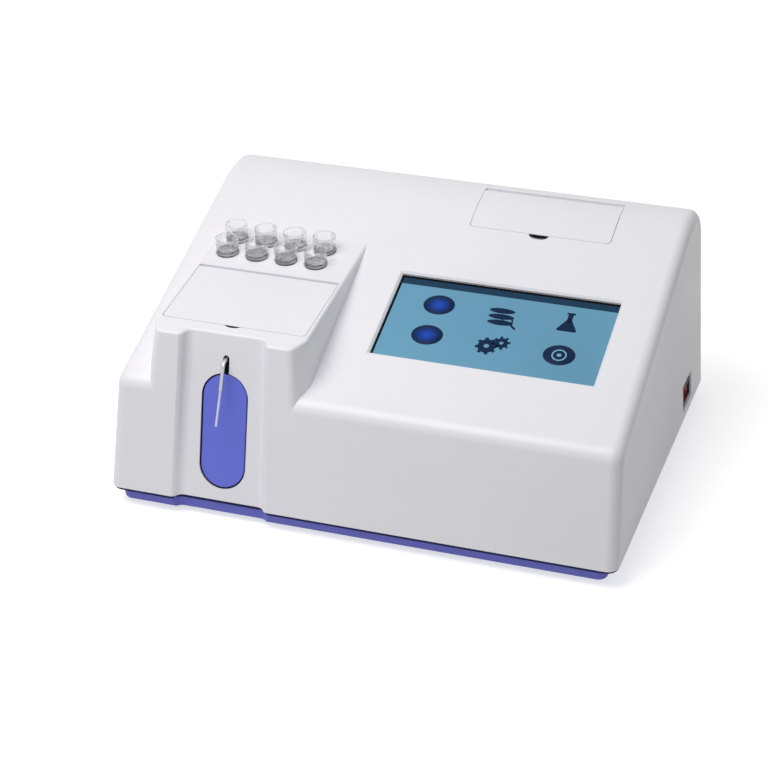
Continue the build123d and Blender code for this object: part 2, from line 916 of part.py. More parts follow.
with BuildPart() as base_tray:
    add(base_plan(seam_z, 0))
    extrude(amount=-base_height, taper=base_taper)
    underside = base_tray.faces().sort_by(Axis.Z)[0]
    fillet(underside.edges(), radius=base_edge_radius)
    with BuildSketch(Plane.XY.offset(seam_z)):
        Rectangle(case_width - 2 * base_flange_inset, case_depth - 2 * base_flange_inset)
        fillet(vertices(), radius=side_edge_radius)
    extrude(amount=-base_flange)
    with BuildSketch(Plane.XY.offset(foot_height)):
        add(niche_section(seam_z, base_front_inset))
    extrude(amount=base_height, mode=Mode.SUBTRACT)
    add(base_hollow.part, mode=Mode.SUBTRACT)

    # Posts for the case screws and the main board, and tabs that locate the upper case
    with BuildSketch(Plane.XY.offset(floor_z)):
        with Locations(*boss_places):
            Circle(boss_radius)
    extrude(amount=boss_z - floor_z)
    with BuildSketch(Plane.XY.offset(floor_z)):
        with Locations(*board_post_places):
            Circle(board_post_radius)
    extrude(amount=board_lift)
    tab_x = case_width / 2 - base_side_inset - wall / 2
    tab_y = (case_depth / 2 - boss_inset_y) / 2
    with BuildSketch(Plane.XY.offset(seam_z)):
        with GridLocations(2 * tab_x, 2 * tab_y, 2, 2):
            Rectangle(wall, tab_length)
    extrude(amount=tab_height)

    # Screw holes, foot seats and cooling slots
    with BuildSketch(Plane.XY.offset(foot_height)):
        with Locations(*boss_places):
            Circle(screw_radius + running_gap)
    extrude(amount=boss_z - foot_height, mode=Mode.SUBTRACT)
    with BuildSketch(Plane.XY.offset(foot_height)):
        with Locations(*boss_places):
            Circle(screw_head_radius + panel_gap)
    extrude(amount=screw_sink, mode=Mode.SUBTRACT)
    with BuildSketch(Plane.XY.offset(foot_height)):
        with Locations(*foot_places):
            Circle(foot_radius + panel_gap)
    extrude(amount=foot_seat, mode=Mode.SUBTRACT)
    with BuildSketch(Plane.XY.offset(foot_height)):
        with Locations(base_slot_centre):
            with GridLocations(0, base_slot_pitch, 1, base_slot_rows):
                SlotOverall(*base_slot_size)
    extrude(amount=base_floor, mode=Mode.SUBTRACT)
base_tray.part.label = "base_tray"
export_step(base_tray.part, "parts/base_tray.step")

# Rubber feet
with BuildPart() as rubber_feet:
    with BuildSketch(Plane.XY.offset(foot_height)):
        with Locations(*foot_places):
            Circle(foot_radius)
    extrude(amount=foot_seat)
    with BuildSketch(Plane.XY.offset(foot_height)):
        with Locations(*foot_places):
            Circle(foot_radius)
    extrude(amount=-foot_height, taper=foot_taper)
rubber_feet.part.label = "rubber_feet"
export_step(rubber_feet.part, "parts/rubber_feet.step")


def screws(plane, places, grip):
    """Screws on one plane: heads above it, shanks below it."""
    with BuildPart() as fasteners:
        with BuildSketch(plane):
            with Locations(*places):
                Circle(screw_head_radius)
        extrude(amount=screw_head_height)
        with BuildSketch(plane):
            with Locations(*places):
                Circle(screw_radius)
        extrude(amount=-grip)
        with BuildSketch(plane.offset(screw_head_height)):
            with Locations(*places):
                Rectangle(screw_head_radius, screw_head_height / 4)
                Rectangle(screw_head_height / 4, screw_head_radius)
        extrude(amount=-screw_head_height / 2, mode=Mode.SUBTRACT)
    return fasteners.part


# Screws: six up through the base, four in the rear panel and four in the fan
sunk_plane = Plane(
    origin=(0, 0, foot_height + screw_sink), x_dir=(1, 0, 0), z_dir=(0, 0, -1)
)
fan_z = above_seam(fan_height)
fan_screw_places = [
    (-fan_x + i * fan_hole_pitch / 2, fan_z + j * fan_hole_pitch / 2)
    for i in (-1, 1)
    for j in (-1, 1)
]
guard_plane = panel_plane.offset(2 * guard_wire_radius)
base_grip = boss_z + screw_grip - foot_height - screw_sink
fan_grip = 2 * guard_wire_radius + panel_sheet + screw_grip
with BuildPart() as case_screws:
    add(screws(sunk_plane, boss_places, base_grip))
    add(screws(panel_plane, rear_screw_places, panel_sheet + screw_grip - 1))
    add(screws(guard_plane, fan_screw_places, fan_grip))
case_screws.part.label = "case_screws"
export_step(case_screws.part, "parts/case_screws.step")

# Rear panel: sheet steel with its cut-outs
inlet_z = above_seam(inlet_height)
port_z = above_seam(port_height)
inlet_body = (inlet_flange[0] - 4, inlet_flange[1] - 4)
with BuildPart() as rear_panel:
    with BuildSketch(panel_plane):
        with Locations((0, rear_middle_z)):
            RectangleRounded(
                2 * (rear_panel_half_width - panel_gap),
                rear_panel_height - 2 * panel_gap,
                recess_radius - panel_gap,
            )
        with Locations(*rear_screw_places, *fan_screw_places):
            Circle(screw_radius + running_gap, mode=Mode.SUBTRACT)
        with Locations((-fan_x, fan_z)):
            Circle(fan_bore_radius, mode=Mode.SUBTRACT)
        with Locations((-inlet_x, inlet_z)):
            Rectangle(
                inlet_body[0] + 2 * panel_cut_gap,
                inlet_body[1] + 2 * panel_cut_gap,
                mode=Mode.SUBTRACT,
            )
        with Locations((-waste_x, pump_z)):
            Circle(spigot_radius + running_gap, mode=Mode.SUBTRACT)
        with Locations((-serial_x, port_z)):
            Rectangle(
                serial_body[0] + 2 * panel_cut_gap,
                serial_body[1] + 2 * panel_cut_gap,
                mode=Mode.SUBTRACT,
            )
        with Locations((-usb_x, port_z)):
            Rectangle(
                usb_body[0] + 2 * panel_cut_gap,
                usb_body[1] + 2 * panel_cut_gap,
                mode=Mode.SUBTRACT,
            )
        with Locations((-panel_vent_x, port_z)):
            with GridLocations(panel_vent_pitch, 0, panel_vents, 1):
                SlotOverall(panel_vent_size[1], panel_vent_size[0], rotation=90, mode=Mode.SUBTRACT)
    extrude(amount=-panel_sheet)
rear_panel.part.label = "rear_panel"
export_step(rear_panel.part, "parts/rear_panel.step")

# Sample lid: flush plate with a barrel along its rear edge and stiffening ribs
with BuildPart() as sample_lid:
    with BuildSketch(block_plane):
        with Locations((0, lid_middle)):
            RectangleRounded(2 * lid_half_width, lid_length, lid_corner_radius)
        with Locations((0, lid_far)):
            Rectangle(2 * lid_half_width, 2 * lid_barrel_radius, mode=Mode.SUBTRACT)
    extrude(amount=-lid_thickness)
    rib_length = lid_length - 2 * lid_rib_inset - 2 * lid_barrel_radius
    with BuildSketch(block_plane.offset(-lid_thickness)):
        with Locations((0, lid_middle)):
            with GridLocations(
                2 * (lid_half_width - lid_rib_inset) / (lid_ribs - 1), 0, lid_ribs, 1
            ):
                Rectangle(lid_rib_width, rib_length)
            with GridLocations(0, rib_length - lid_rib_width, 1, 2):
                Rectangle(2 * (lid_half_width - lid_rib_inset), lid_rib_width)
    extrude(amount=-lid_rib_height)
    with BuildSketch(Plane.YZ.offset(block_x)):
        with Locations((lid_hinge.Y, lid_hinge.Z)):
            Circle(lid_barrel_radius)
    extrude(amount=lid_half_width, both=True)
    for side in (-1, 1):
        with BuildSketch(Plane.YZ.offset(block_x + side * lid_half_width)):
            with Locations((lid_hinge.Y, lid_hinge.Z)):
                Circle(lid_pin_radius + running_gap)
        extrude(amount=-side * (pin_grip + panel_gap), mode=Mode.SUBTRACT)
sample_lid.part.label = "sample_lid"
export_step(sample_lid.part, "parts/sample_lid.step")


def pin_pair(x, reach, y, z, radius):
    """Two short pins on one line along X, each from inside a barrel out into the case."""
    with BuildPart() as pins:
        for side in (-1, 1):
            with BuildSketch(Plane.YZ.offset(x + side * (reach + lid_gap + pin_seat))):
                with Locations((y, z)):
                    Circle(radius)
            extrude(amount=-side * (pin_seat + lid_gap + pin_grip))
    return pins.part


# Steel hinge pins of both lids
with BuildPart() as lid_hinge_pins:
    add(pin_pair(block_x, lid_half_width, lid_hinge.Y, lid_hinge.Z, lid_pin_radius))
    add(
        pin_pair(
            printer_x, printer_half_width, printer_hinge_y, printer_hinge_z, printer_pin_radius
        )
    )
lid_hinge_pins.part.label = "lid_hinge_pins"
export_step(lid_hinge_pins.part, "parts/lid_hinge_pins.step")

# Sample bay: the tub under the sample lid
microswitch_depth = wall + key_flange_gap + key_flange_thickness + key_travel + microswitch_gap
with BuildPart() as sample_bay:
    with BuildSketch(Plane.XY.offset(bay_floor_z - bay_wall)):
        with Locations((block_x, bay_y)):
            Rectangle(2 * (bay_half_width + bay_wall), bay_length + 2 * bay_wall)
    extrude(amount=case_height / 2)
    with BuildSketch(Plane.XY.offset(bay_floor_z)):
        with Locations((block_x, bay_y)):
            Rectangle(2 * bay_half_width, bay_length)
    extrude(amount=case_height, mode=Mode.SUBTRACT)
    split(bisect_by=block_plane.offset(-lid_bed - ledge_thickness), keep=Keep.BOTTOM)
    with BuildSketch(key_plane.offset(-microswitch_depth - microswitch_size[1])):
        with Locations((0, microswitch_rise)):
            Rectangle(microswitch_mount[0], microswitch_mount[1])
    extrude(amount=-microswitch_mount[2])
    with BuildSketch(Plane.XY.offset(bay_floor_z - 2 * bay_wall)):
        with Locations((pump_x, behind_front(pump_y))):
            Circle(pump_shaft_radius + panel_gap)
    extrude(amount=3 * bay_wall, mode=Mode.SUBTRACT)
    with BuildSketch(Plane.XZ.offset(-behind_front(needle_end[0]))):
        with Locations((block_x, above_seam(needle_end[1]))):
            Circle(needle_radius + panel_gap)
    extrude(amount=2 * bay_wall, mode=Mode.SUBTRACT)
    with BuildSketch(Plane.XZ.offset(-bay_far_y - 2 * bay_wall)):
        with Locations((waste_x, pump_z)):
            Circle(pump_tube_radius + panel_gap)
    extrude(amount=3 * bay_wall, mode=Mode.SUBTRACT)
    with BuildSketch(Plane.YZ.offset(block_x + bay_half_width - bay_wall)):
        with Locations((behind_front(optic_y), above_seam(optic_height))):
            Circle(light_hole_radius)
    extrude(amount=3 * bay_wall, mode=Mode.SUBTRACT)
sample_bay.part.label = "sample_bay"
export_step(sample_bay.part, "parts/sample_bay.step")

# Aspirate key: long oval button with a flange behind the wall and a stem for its switch
key_back = wall + key_flange_gap + key_flange_thickness
with BuildPart() as aspirate_key:
    with BuildSketch(key_plane.offset(-key_back)):
        SlotOverall(key_length, key_width, rotation=90)
    extrude(amount=key_back - key_recess)
    key_face = aspirate_key.faces().sort_by(Axis(key_plane.origin, key_plane.z_dir))[-1]
    fillet(key_face.edges(), radius=key_edge_radius)
    with BuildSketch(key_plane.offset(-key_back)):
        SlotOverall(key_length + 2 * key_flange, key_width + 2 * key_flange, rotation=90)
    extrude(amount=key_flange_thickness)
    with BuildSketch(key_plane.offset(-key_back)):
        with Locations((0, microswitch_rise)):
            Circle(key_stem_radius)
    extrude(amount=-key_stem_length)
aspirate_key.part.label = "aspirate_key"
export_step(aspirate_key.part, "parts/aspirate_key.step")

# Microswitch that the key's stem works
with BuildPart() as key_microswitch:
    with BuildSketch(key_plane.offset(-microswitch_depth)):
        with Locations((0, microswitch_rise)):
            Rectangle(microswitch_size[0], microswitch_size[2])
    extrude(amount=-microswitch_size[1])
    with BuildSketch(key_plane.offset(-microswitch_depth)):
        with Locations((0, microswitch_rise)):
            Circle(key_stem_radius + key_stem_gap)
    extrude(amount=-microswitch_size[1] / 2, mode=Mode.SUBTRACT)
key_microswitch.part.label = "key_microswitch"
export_step(key_microswitch.part, "parts/key_microswitch.step")

# Aspiration needle and the soft tube on its tip, in the plane through the slot
needle_plane = Plane.YZ.offset(block_x)


def needle_point(place):
    """A place on the needle plane, given behind the front and above the seam."""
    return (behind_front(place[0]), above_seam(place[1]))


with BuildPart() as aspiration_needle:
    with BuildLine(needle_plane) as needle_path:
        FilletPolyline(
            needle_point(needle_tip),
            needle_point(needle_bend),
            needle_point(needle_end),
            radius=needle_bend_radius,
        )
    with BuildSketch(Plane(origin=needle_path.line @ 0, z_dir=needle_path.line % 0)):
        Circle(needle_radius)
    sweep(path=needle_path.line)
aspiration_needle.part.label = "aspiration_needle"
export_step(aspiration_needle.part, "parts/aspiration_needle.step")

with BuildPart() as needle_tip_tube:
    with BuildLine(needle_plane) as tip_path:
        Line(needle_point(needle_tip), needle_point(tip_tube_end))
    with BuildSketch(Plane(origin=tip_path.line @ 0, z_dir=tip_path.line % 0)):
        Circle(tip_tube_radius)
    sweep(path=tip_path.line)
needle_tip_tube.part.label = "needle_tip_tube"
export_step(needle_tip_tube.part, "parts/needle_tip_tube.step")

# Flow cell in its warmed block, with the detector on one side
flow_y = behind_front(optic_y)
flow_z = above_seam(optic_height)
flow_floor_z = bay_floor_z + flow_well_floor
nozzle_top_z = flow_floor_z + flow_cell_height + nozzle_height
with BuildPart() as flow_cell_block:
    with Locations((flow_x, flow_y, bay_floor_z + flow_block[2] / 2)):
        Box(*flow_block)
    with BuildSketch(Plane.XY.offset(flow_floor_z)):
        with Locations((flow_x, flow_y)):
            Rectangle(flow_well, flow_well)
    extrude(amount=flow_block[2], mode=Mode.SUBTRACT)
    with BuildSketch(Plane.YZ.offset(flow_x)):
        with Locations((flow_y, flow_z)):
            Circle(flow_bore_radius)
    extrude(amount=flow_block[0], both=True, mode=Mode.SUBTRACT)
    groove = flow_block[2] / (2 * flow_block_grooves + 1)
    with BuildSketch(Plane.XZ.offset(-flow_y + flow_block[1] / 2)):
        with Locations((flow_x, bay_floor_z + flow_block[2] / 2)):
            with GridLocations(0, 2 * groove, 1, flow_block_grooves):
                Rectangle(flow_block[0], groove)
    extrude(amount=-groove, mode=Mode.SUBTRACT)
flow_cell_block.part.label = "flow_cell_block"
export_step(flow_cell_block.part, "parts/flow_cell_block.step")

with BuildPart() as flow_cell:
    with BuildSketch(Plane.XY.offset(flow_floor_z)):
        with Locations((flow_x, flow_y)):
            Rectangle(flow_cell_width, flow_cell_width)
    extrude(amount=flow_cell_height)
    with BuildSketch(Plane.XY.offset(flow_floor_z + flow_cell_height)):
        with Locations((flow_x - nozzle_spread, flow_y), (flow_x + nozzle_spread, flow_y)):
            Circle(nozzle_radius)
    extrude(amount=nozzle_height)
flow_cell.part.label = "flow_cell"
export_step(flow_cell.part, "parts/flow_cell.step")

with BuildPart() as detector:
    with BuildSketch(Plane.YZ.offset(flow_x - flow_block[0] / 2)):
        with Locations((flow_y, flow_z)):
            Circle(detector_radius)
    extrude(amount=-detector_length)
    with BuildSketch(Plane.YZ.offset(flow_x - flow_block[0] / 2 - detector_length)):
        with Locations((flow_y, flow_z)):
            Rectangle(detector_board[1], detector_board[2])
    extrude(amount=-detector_board[0])
detector.part.label = "detector_board"
export_step(detector.part, "parts/detector_board.step")

# Sample line from the needle to the flow cell
line_x = flow_x - nozzle_spread
line_top_z = nozzle_top_z + line_rise
line_slope_x = (block_x + line_x) / 2
with BuildPart() as sample_line:
    with BuildLine() as sample_path:
        FilletPolyline(
            (block_x, *needle_point(needle_end)),
            (block_x, behind_front(needle_end[0]) + 2 * line_rise, above_seam(needle_end[1])),
            (line_slope_x, flow_y - 2 * line_rise, line_top_z),
            (line_x, flow_y, line_top_z),
            (line_x, flow_y, nozzle_top_z),
            radius=line_radii,
        )
    with BuildSketch(Plane(origin=sample_path.line @ 0, z_dir=sample_path.line % 0)):
        Circle(line_radius)
    sweep(path=sample_path.line)
sample_line.part.label = "sample_line"
export_step(sample_line.part, "parts/sample_line.step")

# Peristaltic pump: track, rotor, rollers, tube and motor
pump_centre_y = behind_front(pump_y)
track_radius = pump_loop_radius + pump_tube_radius + tube_gap
roller_pitch = pump_loop_radius - pump_tube_radius - tube_gap - pump_roller_radius
roller_angles = [360 / pump_rollers_count * i for i in range(pump_rollers_count)]
roller_places = [
    (pump_x + roller_pitch * cos(radians(a)), pump_centre_y + roller_pitch * sin(radians(a)))
    for a in roller_angles
]
pump_floor_z = bay_floor_z + pump_plate
with BuildPart() as pump_housing:
    with BuildSketch(Plane.XY.offset(bay_floor_z)):
        with Locations((pump_x, pump_centre_y)):
            Circle(track_radius + pump_wall)
            with Locations((0, tube_leg / 2)):
                Rectangle(2 * (track_radius + pump_wall), tube_leg)
    extrude(amount=pump_plate + pump_height)
    with BuildSketch(Plane.XY.offset(pump_floor_z)):
        with Locations((pump_x, pump_centre_y)):
            Circle(track_radius)
            with Locations((0, tube_leg)):
                Rectangle(2 * track_radius, 2 * tube_leg)
    extrude(amount=pump_height, mode=Mode.SUBTRACT)
    with BuildSketch(Plane.XY.offset(bay_floor_z)):
        with Locations((pump_x, pump_centre_y)):
            Circle(pump_shaft_radius + panel_gap)
    extrude(amount=pump_plate, mode=Mode.SUBTRACT)
pump_housing.part.label = "pump_housing"
export_step(pump_housing.part, "parts/pump_housing.step")

disc_radius = roller_pitch + pump_roller_radius - tube_gap
roller_length = 2 * (pump_z - pump_floor_z - running_gap) - 2 * pump_disc_thickness - 2
rotor_low_z = pump_z - roller_length / 2 - pump_disc_thickness
shaft_low_z = bay_floor_z - bay_wall - pump_plate
with BuildPart() as pump_rotor:
    for z in (rotor_low_z, rotor_low_z + roller_length + pump_disc_thickness):
        with BuildSketch(Plane.XY.offset(z)):
            with Locations((pump_x, pump_centre_y)):
                Circle(disc_radius)
        extrude(amount=pump_disc_thickness)
    with BuildSketch(Plane.XY.offset(rotor_low_z)):
        with Locations(*roller_places):
            Circle(pump_roller_pin_radius)
    extrude(amount=roller_length + 2 * pump_disc_thickness)
    with BuildSketch(Plane.XY.offset(shaft_low_z)):
        with Locations((pump_x, pump_centre_y)):
            Circle(pump_shaft_radius)
    extrude(amount=rotor_low_z + roller_length + pump_disc_thickness - shaft_low_z)
pump_rotor.part.label = "pump_rotor"
export_step(pump_rotor.part, "parts/pump_rotor.step")

with BuildPart() as pump_rollers:
    with BuildSketch(Plane.XY.offset(pump_z - roller_length / 2)):
        with Locations(*roller_places):
            Circle(pump_roller_radius)
            Circle(pump_roller_pin_radius, mode=Mode.SUBTRACT)
    extrude(amount=roller_length)
pump_rollers.part.label = "pump_rollers"
export_step(pump_rollers.part, "parts/pump_rollers.step")

leg_x = pump_x + pump_loop_radius
leg_far_y = pump_centre_y + tube_leg
with BuildPart() as pump_tube:
    with BuildLine() as tube_path:
        FilletPolyline(
            (flow_x + nozzle_spread, flow_y, nozzle_top_z),
            (flow_x + nozzle_spread, flow_y, nozzle_top_z + tube_rise),
            (leg_x, leg_far_y, nozzle_top_z + tube_rise),
            (leg_x, leg_far_y, pump_z),
            (leg_x, pump_centre_y, pump_z),
            radius=tube_turn_radius,
        )
        ThreePointArc(
            (leg_x, pump_centre_y, pump_z),
            (pump_x, pump_centre_y - pump_loop_radius, pump_z),
            (waste_x, pump_centre_y, pump_z),
        )
        Line((waste_x, pump_centre_y, pump_z), (waste_x, leg_far_y, pump_z))
    with BuildSketch(Plane(origin=tube_path.line @ 0, z_dir=tube_path.line % 0)):
        Circle(pump_tube_radius)
    sweep(path=tube_path.line)
pump_tube.part.label = "pump_tube"
export_step(pump_tube.part, "parts/pump_tube.step")

motor_top_z = bay_floor_z - bay_wall
with BuildPart() as pump_motor:
    with BuildSketch(Plane.XY.offset(motor_top_z)):
        with Locations((pump_x, pump_centre_y)):
            Circle(pump_motor_radius)
    extrude(amount=-pump_motor_length)
    fillet(pump_motor.edges().filter_by(GeomType.CIRCLE), radius=lid_gap)
    with BuildSketch(Plane.XY.offset(motor_top_z)):
        with Locations((pump_x, pump_centre_y)):
            Circle(pump_shaft_radius + panel_gap)
    extrude(amount=-pump_plate - 1, mode=Mode.SUBTRACT)
pump_motor.part.label = "pump_motor"
export_step(pump_motor.part, "parts/pump_motor.step")

# Waste line to the spigot on the rear panel
spigot_inner_y = panel_back_y - spigot_inner_length
with BuildPart() as waste_line:
    with BuildSketch(Plane.XZ.offset(-leg_far_y)):
        with Locations((waste_x, pump_z)):
            Circle(pump_tube_radius)
    extrude(amount=leg_far_y - spigot_inner_y)
waste_line.part.label = "waste_line"
export_step(waste_line.part, "parts/waste_line.step")

with BuildPart() as waste_spigot:
    with BuildSketch(panel_plane.offset(spigot_flange_thickness + spigot_length)):
        with Locations((-waste_x, pump_z)):
            Circle(spigot_radius)
    extrude(amount=spigot_inner_y - panel_face_y - spigot_flange_thickness - spigot_length)
    with BuildSketch(panel_plane):
        with Locations((-waste_x, pump_z)):
            Circle(spigot_flange_radius)
    extrude(amount=spigot_flange_thickness)
    with BuildSketch(panel_plane.offset(spigot_flange_thickness + spigot_length)):
        with Locations((-waste_x, pump_z)):
            Circle(spigot_bore_radius)
    extrude(amount=-spigot_flange_thickness - spigot_length - panel_sheet, mode=Mode.SUBTRACT)
waste_spigot.part.label = "waste_spigot"
export_step(waste_spigot.part, "parts/waste_spigot.step")

# Optical bench: plate on legs with an upright wall for the lens and the wheel motor
bench_z = above_seam(bench_low)
bench_top_z = bench_z + bench_thickness
bench_x = (bench_left + bench_right) / 2
bench_y = behind_front((bench_near + bench_far) / 2)
bench_width = bench_right - bench_left
bench_length = bench_far - bench_near
wheel_y = flow_y + filter_pitch_radius
bench_wall_x = wheel_x + wheel_thickness / 2 + wheel_wall_gap
bench_wall_top = flow_z + wheel_motor_radius
with BuildPart() as optical_bench:
    with BuildSketch(Plane.XY.offset(bench_z)):
        with Locations((bench_x, bench_y)):
            Rectangle(bench_width, bench_length)
    extrude(amount=bench_thickness)
    with BuildSketch(Plane.XY.offset(floor_z)):
        with Locations((bench_x, bench_y)):
            with GridLocations(
                bench_width - 3 * bench_leg_radius, bench_length - 3 * bench_leg_radius, 2, 2
            ):
                Circle(bench_leg_radius)
    extrude(amount=bench_z - floor_z)
    with BuildSketch(Plane.YZ.offset(bench_wall_x)):
        with Locations((bench_y, (bench_top_z + bench_wall_top) / 2)):
            Rectangle(bench_length, bench_wall_top - bench_top_z)
        with Locations((flow_y, flow_z)):
            Circle(lens_radius, mode=Mode.SUBTRACT)
        with Locations((wheel_y, flow_z)):
            Circle(wheel_shaft_radius + running_gap, mode=Mode.SUBTRACT)
    extrude(amount=bench_wall_thickness)
optical_bench.part.label = "optical_bench"
export_step(optical_bench.part, "parts/optical_bench.step")

# Lamp housing with cooling fins, and its halogen lamp
lamp_length = lamp_right - lamp_left
lamp_top_z = above_seam(lamp_top)
lamp_height = lamp_top_z - bench_top_z
lamp_end = lamp_length - 2 * lamp_fin_depth
with BuildPart() as lamp_housing:
    with Locations(
        ((lamp_left + lamp_right) / 2, flow_y, bench_top_z + lamp_height / 2)
    ):
        Box(lamp_length, 2 * lamp_half_width, lamp_height)
    with BuildSketch(Plane.YZ.offset(lamp_left)):
        with Locations((flow_y, flow_z)):
            Circle(lamp_bore_radius)
    extrude(amount=lamp_end, mode=Mode.SUBTRACT)
    fin_pitch = 2 * lamp_half_width / lamp_fins
    with BuildSketch(Plane.YZ.offset(lamp_right)):
        with Locations((flow_y, bench_top_z + lamp_height / 2)):
            with GridLocations(fin_pitch, 0, lamp_fins - 1, 1):
                Rectangle(fin_pitch / 2, lamp_height - 2 * lamp_fin_depth)
    extrude(amount=-lamp_fin_depth, mode=Mode.SUBTRACT)
lamp_housing.part.label = "lamp_housing"
export_step(lamp_housing.part, "parts/lamp_housing.step")

with BuildPart() as halogen_lamp:
    with BuildSketch(Plane.YZ.offset(lamp_left + lamp_end)):
        with Locations((flow_y, flow_z)):
            Circle(bulb_radius + 1)
    extrude(amount=-2 * lamp_fin_depth)
    with BuildSketch(Plane.YZ.offset(lamp_left + lamp_end - 2 * lamp_fin_depth)):
        with Locations((flow_y, flow_z)):
            Circle(bulb_radius)
    extrude(amount=-2.5 * bulb_radius)
    bulb_tip = halogen_lamp.faces().sort_by(Axis.X)[0]
    fillet(bulb_tip.edges(), radius=bulb_radius / 2)
halogen_lamp.part.label = "halogen_lamp"
export_step(halogen_lamp.part, "parts/halogen_lamp.step")

# Condenser lens in the bench wall
lens_middle_x = bench_wall_x + bench_wall_thickness / 2
with BuildPart() as condenser_lens:
    with BuildSketch(Plane.YZ.offset(bench_wall_x)):
        with Locations((flow_y, flow_z)):
            Circle(lens_radius)
    extrude(amount=bench_wall_thickness)
    for side in (-1, 1):
        with BuildSketch(Plane.YZ.offset(lens_middle_x + side * bench_wall_thickness / 2)):
            with Locations((flow_y, flow_z)):
                Circle(lens_radius)
        extrude(amount=side * (lens_thickness - bench_wall_thickness) / 2, taper=60)
condenser_lens.part.label = "condenser_lens"
export_step(condenser_lens.part, "parts/condenser_lens.step")

# Filter wheel with its eight filter glasses and its motor
filter_angles = [360 / filter_count * i - 90 for i in range(filter_count)]
filter_places = [
    (
        wheel_y + filter_pitch_radius * sin(radians(a)),
        flow_z + filter_pitch_radius * cos(radians(a)),
    )
    for a in filter_angles
]
wheel_left_x = wheel_x - wheel_thickness / 2
with BuildPart() as filter_wheel:
    with BuildSketch(Plane.YZ.offset(wheel_left_x)):
        with Locations((wheel_y, flow_z)):
            Circle(wheel_radius)
        with Locations(*filter_places):
            Circle(filter_radius, mode=Mode.SUBTRACT)
    extrude(amount=wheel_thickness)
    with BuildSketch(Plane.YZ.offset(wheel_left_x - wheel_wall_gap)):
        with Locations((wheel_y, flow_z)):
            Circle(wheel_hub_radius)
    extrude(amount=wheel_wall_gap)
    with BuildSketch(Plane.YZ.offset(wheel_x)):
        with Locations((wheel_y, flow_z)):
            Circle(wheel_shaft_radius)
    extrude(amount=wheel_thickness / 2 + wheel_wall_gap + bench_wall_thickness + wheel_wall_gap)
filter_wheel.part.label = "filter_wheel"
export_step(filter_wheel.part, "parts/filter_wheel.step")

with BuildPart() as filter_glasses:
    with BuildSketch(Plane.YZ.offset(wheel_x - filter_thickness / 2)):
        with Locations(*filter_places):
            Circle(filter_radius)
    extrude(amount=filter_thickness)
filter_glasses.part.label = "filter_glasses"
export_step(filter_glasses.part, "parts/filter_glasses.step")

wheel_motor_x = bench_wall_x + bench_wall_thickness
with BuildPart() as wheel_motor:
    with BuildSketch(Plane.YZ.offset(wheel_motor_x)):
        with Locations((wheel_y, flow_z)):
            Circle(wheel_motor_radius)
    extrude(amount=wheel_motor_length)
    with BuildSketch(Plane.YZ.offset(wheel_motor_x)):
        with Locations((wheel_y, flow_z)):
            Circle(wheel_shaft_radius + running_gap)
    extrude(amount=2 * wheel_wall_gap, mode=Mode.SUBTRACT)
wheel_motor.part.label = "wheel_motor"
export_step(wheel_motor.part, "parts/wheel_motor.step")

# Display: touch glass, LCD module and the bracket that holds both under the deck
with BuildPart() as touch_glass:
    with BuildSketch(screen_plane.offset(-glass_depth)):
        Rectangle(screen_width + 2 * glass_margin, screen_length + 2 * glass_margin)
    extrude(amount=-glass_thickness)
touch_glass.part.label = "touch_glass"
export_step(touch_glass.part, "parts/touch_glass.step")

with BuildPart() as lcd_module:
    with BuildSketch(screen_plane.offset(-lcd_depth)):
        Rectangle(lcd_width, lcd_length)
    extrude(amount=-lcd_thickness)
lcd_module.part.label = "lcd_module"
export_step(lcd_module.part, "parts/lcd_module.step")

with BuildPart() as display_bracket:
    with BuildSketch(screen_plane.offset(-wall)):
        Rectangle(lcd_width + 2 * lcd_rim, lcd_length + 2 * lcd_rim)
        Rectangle(lcd_width, lcd_length, mode=Mode.SUBTRACT)
    extrude(amount=wall - bracket_depth)
    with BuildSketch(screen_plane.offset(-bracket_depth)):
        Rectangle(lcd_width + 2 * lcd_rim, lcd_length + 2 * lcd_rim)
        with GridLocations(lcd_width / bracket_windows, 0, bracket_windows, 1):
            RectangleRounded(*bracket_window, bracket_window_radius, mode=Mode.SUBTRACT)
    extrude(amount=-bracket_sheet)
display_bracket.part.label = "display_bracket"
export_step(display_bracket.part, "parts/display_bracket.step")

# Main board with its larger components
board_top_z = board_z + board_size[2]
with BuildPart() as main_board:
    with Locations((board_x, board_y, board_z + board_size[2] / 2)):
        Box(*board_size)
    for part_x, part_y, part_size in board_parts:
        with Locations((board_x + part_x, board_y + part_y, board_top_z + part_size[2] / 2)):
            Box(*part_size)
    with BuildSketch(Plane.XY.offset(board_top_z)):
        with Locations((board_x - capacitor_place[0], board_y - capacitor_place[1])):
            with GridLocations(3 * capacitor_radius, 0, capacitors, 1):
                Circle(capacitor_radius)
    extrude(amount=capacitor_height)
main_board.part.label = "main_board"
export_step(main_board.part, "parts/main_board.step")

# Power supply in a vented box
supply_x, supply_y = supply_centre[0], behind_front(supply_centre[1])
with BuildPart() as power_supply:
    with Locations((supply_x, supply_y, floor_z + supply_size[2] / 2)):
        Box(*supply_size)
    fillet(power_supply.edges().filter_by(Axis.Z), radius=panel_sheet)
    with BuildSketch(Plane.XY.offset(floor_z + supply_size[2])):
        with Locations((supply_x, supply_y)):
            with GridLocations(supply_size[0] / (supply_slots + 1), 0, supply_slots, 1):
                SlotOverall(supply_size[1] / 2, panel_lip, rotation=90)
    extrude(amount=-panel_sheet, mode=Mode.SUBTRACT)
power_supply.part.label = "power_supply"
export_step(power_supply.part, "parts/power_supply.step")

